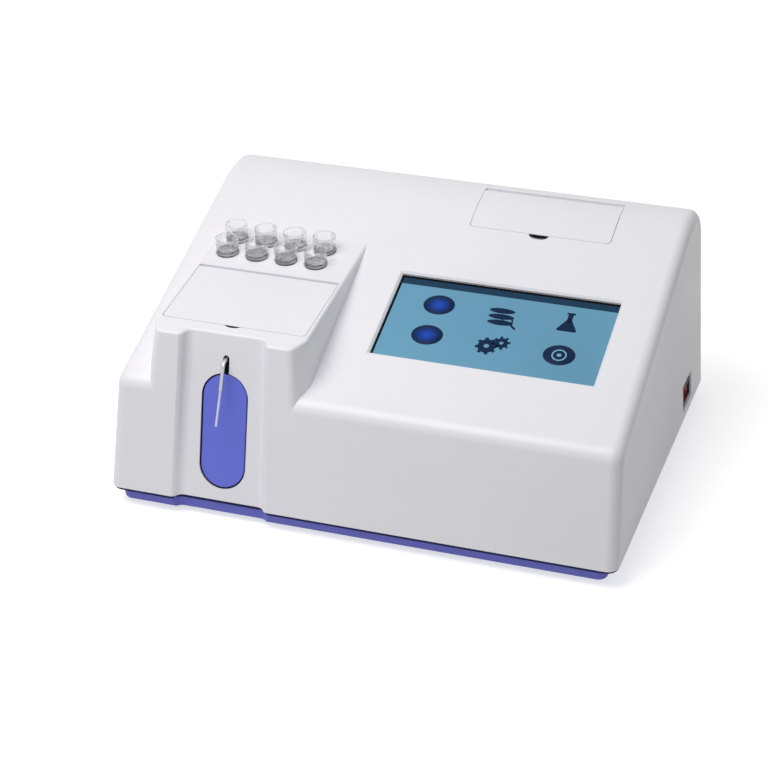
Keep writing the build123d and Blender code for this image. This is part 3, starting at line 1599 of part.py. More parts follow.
# Printer lid: follows the deck's curve, with a barrel along its rear edge
with BuildPart() as printer_lid:
    add(deck_band(0, lid_thickness))
    add(printer_prism(0), mode=Mode.INTERSECT)
    split(bisect_by=Plane.XZ.offset(-printer_hinge_y), keep=Keep.TOP)
    with BuildSketch(Plane.YZ.offset(printer_x)):
        with Locations((printer_hinge_y, printer_hinge_z)):
            Circle(printer_barrel_radius)
    extrude(amount=printer_half_width, both=True)
    for side in (-1, 1):
        with BuildSketch(Plane.YZ.offset(printer_x + side * printer_half_width)):
            with Locations((printer_hinge_y, printer_hinge_z)):
                Circle(printer_pin_radius + running_gap)
        extrude(amount=-side * (pin_grip + panel_gap), mode=Mode.SUBTRACT)
printer_lid.part.label = "printer_lid"
export_step(printer_lid.part, "parts/printer_lid.step")

# Printer bay: tub under the printer lid with cheeks for the paper roll and the platen
paper_y, paper_z = behind_front(paper_centre[0]), above_seam(paper_centre[1])
platen_y, platen_z = behind_front(platen_centre[0]), above_seam(platen_centre[1])
printer_floor_z = above_seam(printer_floor_height)
printer_inner_near = printer_near_y + ledge_width
printer_inner_far = printer_far_y - 2 * printer_barrel_radius - barrel_gap - bay_wall
printer_inner_y = (printer_inner_near + printer_inner_far) / 2
printer_inner_length = printer_inner_far - printer_inner_near
gear_distance = gear_module * (platen_teeth + pinion_teeth) / 2 + gear_backlash
pinion_y = platen_y + gear_distance * cos(radians(pinion_angle))
pinion_z = platen_z + gear_distance * sin(radians(pinion_angle))
cheek_inner_x = paper_width / 2 + cheek_gap
gear_x = printer_x + cheek_inner_x + cheek_thickness + gear_gap
motor_wall_x = gear_x + gear_width + 2 * gear_gap
with BuildPart() as printer_bay:
    with BuildSketch(Plane.XY.offset(printer_floor_z - bay_wall)):
        with Locations((printer_x, printer_inner_y)):
            Rectangle(
                2 * (printer_inner_half_width + bay_wall), printer_inner_length + 2 * bay_wall
            )
    extrude(amount=case_height / 2)
    with BuildSketch(Plane.XY.offset(printer_floor_z)):
        with Locations((printer_x, printer_inner_y)):
            Rectangle(2 * printer_inner_half_width, printer_inner_length)
    extrude(amount=case_height, mode=Mode.SUBTRACT)
    add(wedge_form(lid_bed + ledge_thickness), mode=Mode.INTERSECT)
    for side in (-1, 1):
        with BuildSketch(Plane.YZ.offset(printer_x + side * cheek_inner_x)):
            with Locations((printer_inner_y, printer_floor_z + paper_radius)):
                Rectangle(printer_inner_length, 2 * paper_radius)
            with Locations((platen_y, platen_z)):
                Circle(printer_cheek_radius)
            with Locations((platen_y, platen_z - paper_radius / 2)):
                Rectangle(2 * printer_cheek_radius, paper_radius)
            with Locations((platen_y, platen_z)):
                Circle(platen_shaft_radius + running_gap, mode=Mode.SUBTRACT)
        extrude(amount=side * cheek_thickness)
        with BuildSketch(Plane.YZ.offset(printer_x + side * cheek_inner_x)):
            with Locations((paper_y, paper_z)):
                Circle(paper_core_radius - 2 * running_gap)
        extrude(amount=-side * paper_stub)
    with BuildSketch(Plane.YZ.offset(motor_wall_x)):
        with Locations((pinion_y, (printer_floor_z + pinion_z + printer_motor_radius) / 2)):
            Rectangle(motor_wall_width, pinion_z + printer_motor_radius - printer_floor_z)
        with Locations((pinion_y, pinion_z)):
            Circle(pinion_shaft_radius + running_gap, mode=Mode.SUBTRACT)
    extrude(amount=motor_wall)
printer_bay.part.label = "printer_bay"
export_step(printer_bay.part, "parts/printer_bay.step")

# Paper roll on its core
with BuildPart() as paper_roll:
    with BuildSketch(Plane.YZ.offset(printer_x)):
        with Locations((paper_y, paper_z)):
            Circle(paper_radius)
            Circle(paper_core_radius, mode=Mode.SUBTRACT)
    extrude(amount=paper_width / 2, both=True)
paper_roll.part.label = "paper_roll"
export_step(paper_roll.part, "parts/paper_roll.step")

# Thermal print head between the cheeks, under the platen
head_top_z = platen_z - platen_radius - head_gap
with BuildPart() as print_head:
    with BuildSketch(Plane.YZ.offset(printer_x)):
        with Locations((behind_front(head_front + head_depth / 2), head_top_z - head_thickness / 2)):
            Rectangle(head_depth, head_thickness)
    extrude(amount=cheek_inner_x, both=True)
print_head.part.label = "print_head"
export_step(print_head.part, "parts/print_head.step")


def gear_outline(teeth, centre, phase):
    """Corner points of a small spur gear, read around its rim."""
    pitch = gear_module * teeth / 2
    radii = [
        pitch - 1.25 * gear_module,
        pitch - 1.25 * gear_module,
        pitch,
        pitch + gear_module,
        pitch + gear_module,
        pitch,
    ]
    steps = [-0.27, 0.27, 0.26, 0.36, 0.64, 0.74]
    points = []
    for tooth in range(teeth):
        for radius, step in zip(radii, steps):
            angle = radians(360 / teeth * (tooth + step) + phase)
            points.append((centre[0] + radius * cos(angle), centre[1] + radius * sin(angle)))
    return points


# Platen roller with its gear, driven by the printer motor's pinion
platen_length = 2 * cheek_inner_x - 2 * paper_gap
with BuildPart() as platen_roller:
    with BuildSketch(Plane.YZ.offset(printer_x - platen_length / 2)):
        with Locations((platen_y, platen_z)):
            Circle(platen_radius)
    extrude(amount=platen_length)
    shaft_start = printer_x - cheek_inner_x - cheek_thickness - gear_gap
    with BuildSketch(Plane.YZ.offset(shaft_start)):
        with Locations((platen_y, platen_z)):
            Circle(platen_shaft_radius)
    extrude(amount=gear_x + gear_width - shaft_start)
    with BuildSketch(Plane.YZ.offset(gear_x)):
        with BuildLine():
            Polyline(
                *gear_outline(platen_teeth, (platen_y, platen_z), pinion_angle), close=True
            )
        make_face()
    extrude(amount=gear_width)
platen_roller.part.label = "platen_roller"
export_step(platen_roller.part, "parts/platen_roller.step")

with BuildPart() as printer_pinion:
    with BuildSketch(Plane.YZ.offset(gear_x)):
        with BuildLine():
            Polyline(
                *gear_outline(
                    pinion_teeth, (pinion_y, pinion_z), pinion_angle + 180 + 180 / pinion_teeth
                ),
                close=True,
            )
        make_face()
    extrude(amount=gear_width)
    with BuildSketch(Plane.YZ.offset(gear_x)):
        with Locations((pinion_y, pinion_z)):
            Circle(pinion_shaft_radius)
    extrude(amount=motor_wall_x + motor_wall + pinion_shaft_grip - gear_x)
printer_pinion.part.label = "printer_pinion"
export_step(printer_pinion.part, "parts/printer_pinion.step")

with BuildPart() as printer_motor:
    with BuildSketch(Plane.YZ.offset(motor_wall_x + motor_wall)):
        with Locations((pinion_y, pinion_z)):
            Circle(printer_motor_radius)
    extrude(amount=printer_motor_length)
    with BuildSketch(Plane.YZ.offset(motor_wall_x + motor_wall)):
        with Locations((pinion_y, pinion_z)):
            Circle(pinion_shaft_radius + running_gap)
    extrude(amount=pinion_shaft_grip + panel_gap, mode=Mode.SUBTRACT)
printer_motor.part.label = "printer_motor"
export_step(printer_motor.part, "parts/printer_motor.step")

# Power switch: bezel and body in the side wall
switch_plane = side_plane.offset(-switch_pocket_depth)
switch_body = (switch_opening[0] - panel_cut_gap, switch_opening[1] - panel_cut_gap)
switch_cavity = (switch_body[0] - 2 * switch_wall, switch_body[1] - 2 * switch_wall)
rocker_pivot = -rocker_sink - rocker_depth
pivot_plane = Plane(
    origin=side_plane.from_local_coords(Vector(0, 0, rocker_pivot)),
    x_dir=side_plane.x_dir,
    z_dir=-side_plane.y_dir,
)
with BuildPart() as power_switch:
    with BuildSketch(switch_plane):
        RectangleRounded(*switch_bezel, switch_bezel_thickness)
    extrude(amount=switch_bezel_thickness)
    with BuildSketch(switch_plane):
        Rectangle(*switch_body)
    extrude(amount=-switch_depth)
    with BuildSketch(side_plane):
        Rectangle(*switch_cavity)
    extrude(amount=-switch_cavity_depth, mode=Mode.SUBTRACT)
    with BuildSketch(pivot_plane):
        Circle(rocker_pin_radius + running_gap)
    extrude(
        amount=switch_cavity[1] / 2 - rocker_gap + rocker_pin_grip + running_gap,
        both=True,
        mode=Mode.SUBTRACT,
    )
power_switch.part.label = "power_switch"
export_step(power_switch.part, "parts/power_switch.step")

# Rocker of the power switch, drawn level and then tipped to its resting side
rocker_half_width = switch_cavity[1] / 2 - rocker_gap
rocker_rise = rocker_depth + rocker_half_length * tan(radians(rocker_angle))
with BuildPart() as power_rocker:
    with BuildSketch(pivot_plane.rotated((0, 0, rocker_angle))):
        with BuildLine():
            Polyline(
                (-rocker_half_length, rocker_rise),
                (0, rocker_depth),
                (rocker_half_length, rocker_rise),
                (rocker_half_length - 1, rocker_depth / 2),
                (rocker_half_length / 2, -2 * rocker_pin_radius),
                (-rocker_half_length / 2, -2 * rocker_pin_radius),
                (1 - rocker_half_length, rocker_depth / 2),
                close=True,
            )
        make_face()
    extrude(amount=rocker_half_width, both=True)
    with BuildSketch(pivot_plane):
        Circle(rocker_pin_radius)
    extrude(amount=rocker_half_width + rocker_pin_grip, both=True)
power_rocker.part.label = "power_rocker"
export_step(power_rocker.part, "parts/power_rocker.step")

# Mains inlet with its blades and fuse drawer
inlet_plane = panel_plane.offset(inlet_flange_thickness)
socket_z = inlet_z + inlet_socket_rise
drawer_z = inlet_z - drawer_drop
with BuildPart() as mains_inlet:
    with BuildSketch(panel_plane):
        with Locations((-inlet_x, inlet_z)):
            RectangleRounded(*inlet_flange, inlet_flange_thickness)
    extrude(amount=inlet_flange_thickness)
    with BuildSketch(panel_plane):
        with Locations((-inlet_x, inlet_z)):
            Rectangle(*inlet_body)
    extrude(amount=-inlet_depth)
    with BuildSketch(inlet_plane):
        with Locations((-inlet_x, socket_z)):
            Rectangle(*inlet_socket)
        chamfer(vertices().group_by(Axis.Z)[-1], length=inlet_chamfer)
    extrude(amount=-inlet_socket_depth, mode=Mode.SUBTRACT)
    with BuildSketch(inlet_plane):
        with Locations((-inlet_x, drawer_z)):
            Rectangle(drawer_size[0] + 2 * drawer_gap, drawer_size[1] + 2 * drawer_gap)
    extrude(amount=-drawer_depth - drawer_gap, mode=Mode.SUBTRACT)
mains_inlet.part.label = "mains_inlet"
export_step(mains_inlet.part, "parts/mains_inlet.step")

with BuildPart() as inlet_blades:
    with BuildSketch(inlet_plane.offset(-inlet_socket_depth)):
        with Locations(
            (-inlet_x - blade_spread / 2, socket_z - blade_rise / 2),
            (-inlet_x + blade_spread / 2, socket_z - blade_rise / 2),
            (-inlet_x, socket_z + blade_rise),
        ):
            Rectangle(*blade_size)
    extrude(amount=inlet_socket_depth - blade_tip_depth)
inlet_blades.part.label = "inlet_blades"
export_step(inlet_blades.part, "parts/inlet_blades.step")

with BuildPart() as fuse_drawer:
    with BuildSketch(inlet_plane):
        with Locations((-inlet_x, drawer_z)):
            Rectangle(*drawer_size)
    extrude(amount=-drawer_depth)
    with BuildSketch(inlet_plane):
        with Locations((-inlet_x, drawer_z - drawer_size[1] / 4)):
            SlotOverall(drawer_size[0] / 2, blade_size[0])
    extrude(amount=drawer_lip)
fuse_drawer.part.label = "fuse_drawer"
export_step(fuse_drawer.part, "parts/fuse_drawer.step")

# Cooling fan: frame with struts and hub plate, and the rotor
fan_back_plane = panel_back_plane.offset(-fan_depth)
fan_core_plane = fan_back_plane.offset(fan_plate)
with BuildPart() as fan_frame:
    with BuildSketch(fan_back_plane):
        with Locations((-fan_x, fan_z)):
            RectangleRounded(fan_size, fan_size, panel_lip)
            Circle(fan_bore_radius, mode=Mode.SUBTRACT)
    extrude(amount=fan_depth)
    with BuildSketch(fan_back_plane):
        with Locations((-fan_x, fan_z)):
            Circle(fan_hub_radius)
            Rectangle(2 * fan_bore_radius + 1, fan_strut)
            Rectangle(fan_strut, 2 * fan_bore_radius + 1)
            Circle(fan_shaft_radius + running_gap, mode=Mode.SUBTRACT)
    extrude(amount=fan_plate)
    with BuildSketch(panel_back_plane):
        with Locations(*fan_screw_places):
            Circle(screw_radius + running_gap)
    extrude(amount=-screw_grip - panel_lip_thickness, mode=Mode.SUBTRACT)
fan_frame.part.label = "fan_frame"
export_step(fan_frame.part, "parts/fan_frame.step")

blade_length = fan_bore_radius - fan_tip_gap - fan_hub_radius + 1
blade_middle = fan_hub_radius - 1 + blade_length / 2
with BuildPart() as fan_blade:
    with Locations(Location((blade_middle, 0, 0), (fan_pitch, 0, 0))):
        Box(blade_length + 2, fan_chord, fan_blade_thickness)
    Cylinder(fan_bore_radius - fan_tip_gap, fan_depth, mode=Mode.INTERSECT)

with BuildPart() as fan_rotor:
    with BuildSketch(fan_core_plane.offset(lid_gap)):
        with Locations((-fan_x, fan_z)):
            Circle(fan_hub_radius)
    extrude(amount=fan_cup_depth)
    with BuildSketch(fan_back_plane):
        with Locations((-fan_x, fan_z)):
            Circle(fan_shaft_radius)
    extrude(amount=fan_plate + fan_cup_depth / 2)
    rotor_middle = fan_core_plane.offset(lid_gap + fan_cup_depth / 2)
    rotor_centre = Plane(
        origin=rotor_middle.from_local_coords(Vector(-fan_x, fan_z, 0)),
        x_dir=rotor_middle.x_dir,
        z_dir=rotor_middle.z_dir,
    )
    with Locations(rotor_centre):
        with PolarLocations(0, fan_blades):
            add(fan_blade.part)
fan_rotor.part.label = "fan_rotor"
export_step(fan_rotor.part, "parts/fan_rotor.step")

# Finger guard over the fan: rings and spokes in one plane
guard_reach = fan_hole_pitch * hypot(0.5, 0.5)
with BuildPart() as fan_guard:
    with BuildSketch(panel_plane):
        with Locations((-fan_x, fan_z)):
            for ring in range(guard_rings):
                ring_radius = guard_ring_radius - ring * guard_ring_pitch
                Circle(ring_radius + guard_wire_radius)
                Circle(ring_radius - guard_wire_radius, mode=Mode.SUBTRACT)
            for angle in (45, 135):
                Rectangle(2 * guard_reach, 2 * guard_wire_radius, rotation=angle)
        with Locations(*fan_screw_places):
            Circle(screw_head_radius + lid_gap)
            Circle(screw_radius + running_gap, mode=Mode.SUBTRACT)
    extrude(amount=2 * guard_wire_radius)
fan_guard.part.label = "fan_guard"
export_step(fan_guard.part, "parts/fan_guard.step")


def port(x, body, flange, opening, depth):
    """A socket on the rear panel: flange outside, body through the sheet, open front."""
    with BuildPart() as socket:
        with BuildSketch(panel_plane):
            with Locations((-x, port_z)):
                RectangleRounded(*flange, port_flange_thickness)
        extrude(amount=port_flange_thickness)
        with BuildSketch(panel_plane):
            with Locations((-x, port_z)):
                Rectangle(*body)
        extrude(amount=-depth)
        with BuildSketch(panel_plane.offset(port_flange_thickness)):
            with Locations((-x, port_z)):
                Rectangle(*opening)
        extrude(amount=-port_socket_depth, mode=Mode.SUBTRACT)
    return socket.part


# Data sockets
with BuildPart() as serial_port:
    add(port(serial_x, serial_body, serial_flange, serial_opening, port_depth))
    with BuildSketch(panel_plane.offset(port_flange_thickness - port_socket_depth)):
        with Locations((-serial_x, port_z)):
            Rectangle(*serial_tongue)
    extrude(amount=port_socket_depth - panel_lip_thickness)
serial_port.part.label = "serial_port"
export_step(serial_port.part, "parts/serial_port.step")

with BuildPart() as usb_port:
    add(port(usb_x, usb_body, usb_flange, usb_opening, port_depth))
    with BuildSketch(panel_plane.offset(port_flange_thickness - port_socket_depth)):
        with Locations((-usb_x, port_z)):
            Rectangle(*usb_tongue)
    extrude(amount=port_socket_depth - panel_lip_thickness)
usb_port.part.label = "usb_port"
export_step(usb_port.part, "parts/usb_port.step")


def sample_cup(place):
    """One clear sample cup, standing level in its seat."""
    foot = Plane(origin=place, x_dir=(1, 0, 0), z_dir=(0, 0, 1))
    with BuildPart() as cup:
        with BuildSketch(foot.offset(cup_height)):
            Circle(cup_radius)
        extrude(amount=-cup_height, taper=cup_draft)
        fillet(cup.faces().sort_by(Axis.Z)[0].edges(), radius=cup_foot_radius)
        with BuildSketch(foot.offset(cup_height)):
            Circle(cup_radius - cup_wall)
        extrude(amount=cup_floor - cup_height, taper=cup_draft, mode=Mode.SUBTRACT)
    return cup.part


# Sample cups, numbered from the left, front row first
for number, place in enumerate(cup_places, start=1):
    with BuildPart() as cup:
        add(sample_cup(place))
    cup.part.label = f"sample_cup_{number}"
    export_step(cup.part, f"parts/sample_cup_{number}.step")
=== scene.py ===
import logging
from collections.abc import Callable
from dataclasses import dataclass, field
from enum import Enum
from functools import cached_property
from math import cos, degrees, radians, sin

import bmesh
import bpy
from mathutils import Matrix, Vector

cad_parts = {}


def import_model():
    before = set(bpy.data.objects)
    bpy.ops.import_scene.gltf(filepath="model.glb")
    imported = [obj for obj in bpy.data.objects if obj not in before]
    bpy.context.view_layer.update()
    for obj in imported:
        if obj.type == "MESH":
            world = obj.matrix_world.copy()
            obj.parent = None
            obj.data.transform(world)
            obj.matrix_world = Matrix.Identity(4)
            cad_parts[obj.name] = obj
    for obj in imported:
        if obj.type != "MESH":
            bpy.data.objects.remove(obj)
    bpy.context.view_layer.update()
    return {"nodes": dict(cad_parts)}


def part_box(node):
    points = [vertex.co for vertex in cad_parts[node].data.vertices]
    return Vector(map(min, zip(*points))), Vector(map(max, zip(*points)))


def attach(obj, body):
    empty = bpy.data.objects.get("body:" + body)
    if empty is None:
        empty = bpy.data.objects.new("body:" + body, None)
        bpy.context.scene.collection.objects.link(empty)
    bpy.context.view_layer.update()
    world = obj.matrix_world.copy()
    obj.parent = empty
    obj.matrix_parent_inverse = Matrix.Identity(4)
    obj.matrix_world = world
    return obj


log = logging.getLogger("analyser")

# Lengths are in mm and angles in degrees, unless a docstring says otherwise; MM makes them metres
MM = 0.001

# The seam between shell and base, the shell's front and the sample block's middle
SEAM_Z = 15.0
FRONT_Y = -130.65
BLOCK_X = -98.25

# The deck's slope, and Y and Z of its front edge
DECK_SLOPE = 17.57
DECK_EDGE = (FRONT_Y + 18.7, SEAM_Z + 77.7)

# Edges that turn by less than this look round: on flat pieces, and on wire
FLAT_CREASE = 35.0
WIRE_CREASE = 60.0

# Middle and radius of a cylinder's top in the UV map that Blender gives it
CAP_MIDDLE = 0.25
CAP_RADIUS = 0.24

Point = tuple[float, float, float]
Colour = tuple[float, float, float]
MeshPart = bmesh.types.BMVert | bmesh.types.BMEdge | bmesh.types.BMFace


class Element(Enum):
    """What is picked in edit mode, and the name of its list in the mesh."""

    VERT = "verts"
    EDGE = "edges"
    FACE = "faces"


class Surface(Enum):
    """How a moulded surface was finished in its tool: its roughness and grain depth in metres."""

    POLISHED = (0.22, 0.00002)
    SATIN = (0.42, 0.00005)
    SPARKED = (0.58, 0.00009)


class Graph:
    """A material's node tree, with short calls for the nodes that the finishes use."""

    def __init__(self, name: str) -> None:
        """Start an empty material with an output and a Principled shader.

        Args:
            name: name of the material.
        """
        self.material = bpy.data.materials.new(f"{name}_finish")
        self.material.use_nodes = True
        self.tree = self.material.node_tree
        self.tree.nodes.clear()
        self.output = self.tree.nodes.new("ShaderNodeOutputMaterial")
        self.shader = self.tree.nodes.new("ShaderNodeBsdfPrincipled")
        self.link(self.shader.outputs[0], self.output.inputs["Surface"])
        self.place = self.tree.nodes.new("ShaderNodeTexCoord").outputs["Object"]

    def link(self, source: bpy.types.NodeSocket, target: bpy.types.NodeSocket) -> None:
        """Join two sockets."""
        self.tree.links.new(source, target)

    def set(self, **values: float | Colour) -> None:
        """Set constants on the Principled shader's own sockets.

        Args:
            values: socket name, with underscores for spaces, to value.
        """
        for name, value in values.items():
            socket = self.shader.inputs[name.replace("_", " ")]
            socket.default_value = (*value, 1.0) if socket.type == "RGBA" else value

    def stretched(self, scale: Point) -> bpy.types.NodeSocket:
        """Object coordinates stretched along the axes.

        Args:
            scale: factor along X, Y and Z.

        Returns:
            The stretched coordinates.
        """
        mapping = self.tree.nodes.new("ShaderNodeMapping")
        mapping.inputs["Scale"].default_value = scale
        self.link(self.place, mapping.inputs["Vector"])
        return mapping.outputs[0]

    def noise(
        self, scale: float, detail: float, place: bpy.types.NodeSocket | None = None
    ) -> bpy.types.NodeSocket:
        """A noise value on object coordinates.

        Args:
            scale: cells per metre.
            detail: number of octaves.
            place: coordinates to use in place of the object's own.

        Returns:
            The noise value.
        """
        node = self.tree.nodes.new("ShaderNodeTexNoise")
        node.inputs["Scale"].default_value = scale
        node.inputs["Detail"].default_value = detail
        self.link(place or self.place, node.inputs["Vector"])
        return node.outputs[0]

    def span(
        self, value: bpy.types.NodeSocket, low: float, high: float, start: float = 0.3,
        end: float = 0.7,
    ) -> bpy.types.NodeSocket:
        """A value mapped from one range to another.

        Args:
            value: the value to map.
            low: result at the start of the range.
            high: result at its end.
            start: value that gives low.
            end: value that gives high.

        Returns:
            The mapped value.
        """
        node = self.tree.nodes.new("ShaderNodeMapRange")
        limits = {"From Min": start, "From Max": end, "To Min": low, "To Max": high}
        for name, number in limits.items():
            node.inputs[name].default_value = number
        self.link(value, node.inputs["Value"])
        return node.outputs[0]

    def blend(
        self, factor: bpy.types.NodeSocket, first: Colour, second: Colour
    ) -> bpy.types.NodeSocket:
        """Two colours mixed by a factor.

        Args:
            factor: 0 gives the first colour and 1 the second.
            first: the first colour.
            second: the second colour.

        Returns:
            The mixed colour.
        """
        node = self.tree.nodes.new("ShaderNodeMix")
        node.data_type = "RGBA"
        node.inputs[6].default_value = (*first, 1.0)
        node.inputs[7].default_value = (*second, 1.0)
        self.link(factor, node.inputs[0])
        return node.outputs[2]

    def relief(self, height: bpy.types.NodeSocket, distance: float, strength: float) -> None:
        """Bump the surface by a height value.

        Args:
            height: the height value.
            distance: depth in metres that a height of 1 stands for.
            strength: how much of it shows.
        """
        node = self.tree.nodes.new("ShaderNodeBump")
        node.inputs["Distance"].default_value = distance
        node.inputs["Strength"].default_value = strength
        self.link(height, node.inputs["Height"])
        self.link(node.outputs[0], self.shader.inputs["Normal"])

    def drive(self, name: str, value: bpy.types.NodeSocket) -> None:
        """Drive one of the shader's inputs by a socket."""
        self.link(value, self.shader.inputs[name])

    def clouded(
        self, value: bpy.types.NodeSocket, colour: Colour, factor: float
    ) -> bpy.types.NodeSocket:
        """Give the shader a colour that drifts with a noise value.

        Args:
            value: the noise value.
            colour: the colour.
            factor: how much lighter, or under 1 darker, it gets.

        Returns:
            The drifting colour.
        """
        tone = self.blend(self.span(value, 0.0, 1.0), colour, shade(colour, factor))
        self.drive("Base Color", tone)
        return tone

    def lit(self, tone: bpy.types.NodeSocket, glow: float) -> None:
        """Let a colour glow under a faintly glossy skin.

        Args:
            tone: the colour.
            glow: strength of its own light.
        """
        self.drive("Base Color", tone)
        self.drive("Emission Color", tone)
        self.drive("Roughness", self.span(self.noise(220.0, 3.0), 0.3, 0.38))
        self.set(Emission_Strength=glow, Specular_IOR_Level=0.1, IOR=1.45)


def shade(colour: Colour, factor: float) -> Colour:
    """A colour made darker or lighter.

    Args:
        colour: the colour.
        factor: under 1 is darker.

    Returns:
        The new colour.
    """
    return tuple(min(1.0, channel * factor) for channel in colour)


@dataclass(frozen=True)
class Moulded:
    """Injection-moulded plastic with its tool grain and faint handling marks."""

    name: str
    colour: Colour
    surface: Surface = Surface.SATIN
    grain: float = 1500.0
    mottle: float = 0.035
    gloss: float = 0.5

    def make(self) -> bpy.types.Material:
        """Build the material.

        Returns:
            The material.
        """
        graph = Graph(self.name)
        roughness, depth = self.surface.value
        graph.clouded(graph.noise(9.0, 3.0), self.colour, 1.0 - self.mottle)
        wipe = graph.noise(26.0, 4.0, graph.stretched((1.0, 0.35, 1.0)))
        graph.drive("Roughness", graph.span(wipe, roughness - 0.05, roughness + 0.06))
        graph.relief(graph.noise(self.grain, 2.0), depth, 0.55)
        graph.set(
            IOR=1.5, Specular_IOR_Level=self.gloss, Coat_Weight=0.12 * self.gloss,
            Coat_Roughness=0.3,
        )
        return graph.material


@dataclass(frozen=True)
class Metal:
    """Bare or plated metal, brushed along one axis."""

    name: str
    colour: Colour
    roughness: float = 0.3
    brush: Point = (40.0, 1.0, 1.0)
    grain: float = 60.0

    def make(self) -> bpy.types.Material:
        """Build the material.

        Returns:
            The material.
        """
        graph = Graph(self.name)
        lines = graph.noise(self.grain, 5.0, graph.stretched(self.brush))
        graph.clouded(graph.noise(35.0, 3.0), self.colour, 0.86)
        graph.drive("Roughness", graph.span(lines, self.roughness - 0.08, self.roughness + 0.12))
        graph.relief(lines, 0.00004, 0.5)
        graph.set(Metallic=1.0)
        return graph.material


@dataclass(frozen=True)
class Clear:
    """Clear glass, quartz or plastic."""

    name: str
    colour: Colour
    roughness: float = 0.03
    ior: float = 1.45
    film: float = 0.0
    body: float = 1.0

    def make(self) -> bpy.types.Material:
        """Build the material.

        Returns:
            The material.
        """
        graph = Graph(self.name)
        smear = graph.noise(140.0, 4.0)
        graph.drive("Roughness", graph.span(smear, self.roughness, self.roughness + 0.06))
        graph.relief(graph.noise(60.0, 2.0), 0.00005, 0.3)
        graph.set(
            Base_Color=self.colour, IOR=self.ior, Transmission_Weight=1.0 - self.film,
            Alpha=self.body,
        )
        return graph.material


@dataclass(frozen=True)
class Rubber:
    """Soft black or grey rubber with bloom."""

    name: str
    colour: Colour

    def make(self) -> bpy.types.Material:
        """Build the material.

        Returns:
            The material.
        """
        graph = Graph(self.name)
        bloom = graph.noise(80.0, 5.0)
        graph.clouded(bloom, self.colour, 1.9)
        graph.drive("Roughness", graph.span(bloom, 0.62, 0.82))
        graph.relief(graph.noise(900.0, 3.0), 0.0001, 0.5)
        return graph.material


@dataclass(frozen=True)
class Lacquer:
    """Powder coat or solder mask: a textured paint skin over a stiff base."""

    name: str
    colour: Colour
    roughness: float = 0.45
    peel: float = 500.0

    def make(self) -> bpy.types.Material:
        """Build the material.

        Returns:
            The material.
        """
        graph = Graph(self.name)
        skin = graph.noise(self.peel, 3.0)
        graph.clouded(graph.noise(30.0, 3.0), self.colour, 0.9)
        graph.drive("Roughness", graph.span(skin, self.roughness - 0.06, self.roughness + 0.08))
        graph.relief(skin, 0.00008, 0.5)
        graph.set(Coat_Weight=0.1, Coat_Roughness=0.25)
        return graph.material


@dataclass(frozen=True)
class Lit:
    """A lit display surface: its colour glows a little under a faint gloss."""

    name: str
    colour: Colour
    glow: float = 0.35
    fade: float = 0.12

    def make(self) -> bpy.types.Material:
        """Build the material.

        Returns:
            The material.
        """
        graph = Graph(self.name)
        tone = graph.clouded(graph.noise(7.0, 1.0), self.colour, 1 - self.fade)
        graph.lit(tone, self.glow)
        return graph.material


@dataclass(frozen=True)
class Beacon:
    """A round picture symbol, dark at its rim and brighter in its middle."""

    name: str
    rim: Colour
    core: Colour
    glow: float = 0.2

    def make(self) -> bpy.types.Material:
        """Build the material on the disc's own UV map.

        Returns:
            The material.
        """
        graph = Graph(self.name)
        mapping = graph.tree.nodes.new("ShaderNodeMapping")
        middle = -CAP_MIDDLE / CAP_RADIUS
        mapping.inputs["Location"].default_value = (middle, middle, 0)
        mapping.inputs["Scale"].default_value = (1 / CAP_RADIUS, 1 / CAP_RADIUS, 1.0)
        chart = graph.tree.nodes.new("ShaderNodeTexCoord")
        graph.link(chart.outputs["UV"], mapping.inputs["Vector"])
        fall = graph.tree.nodes.new("ShaderNodeTexGradient")
        fall.gradient_type = "SPHERICAL"
        graph.link(mapping.outputs[0], fall.inputs[0])
        level = graph.span(fall.outputs[0], 0.0, 1.0, 0.2, 0.95)
        graph.lit(graph.blend(level, self.rim, self.core), self.glow)
        return graph.material


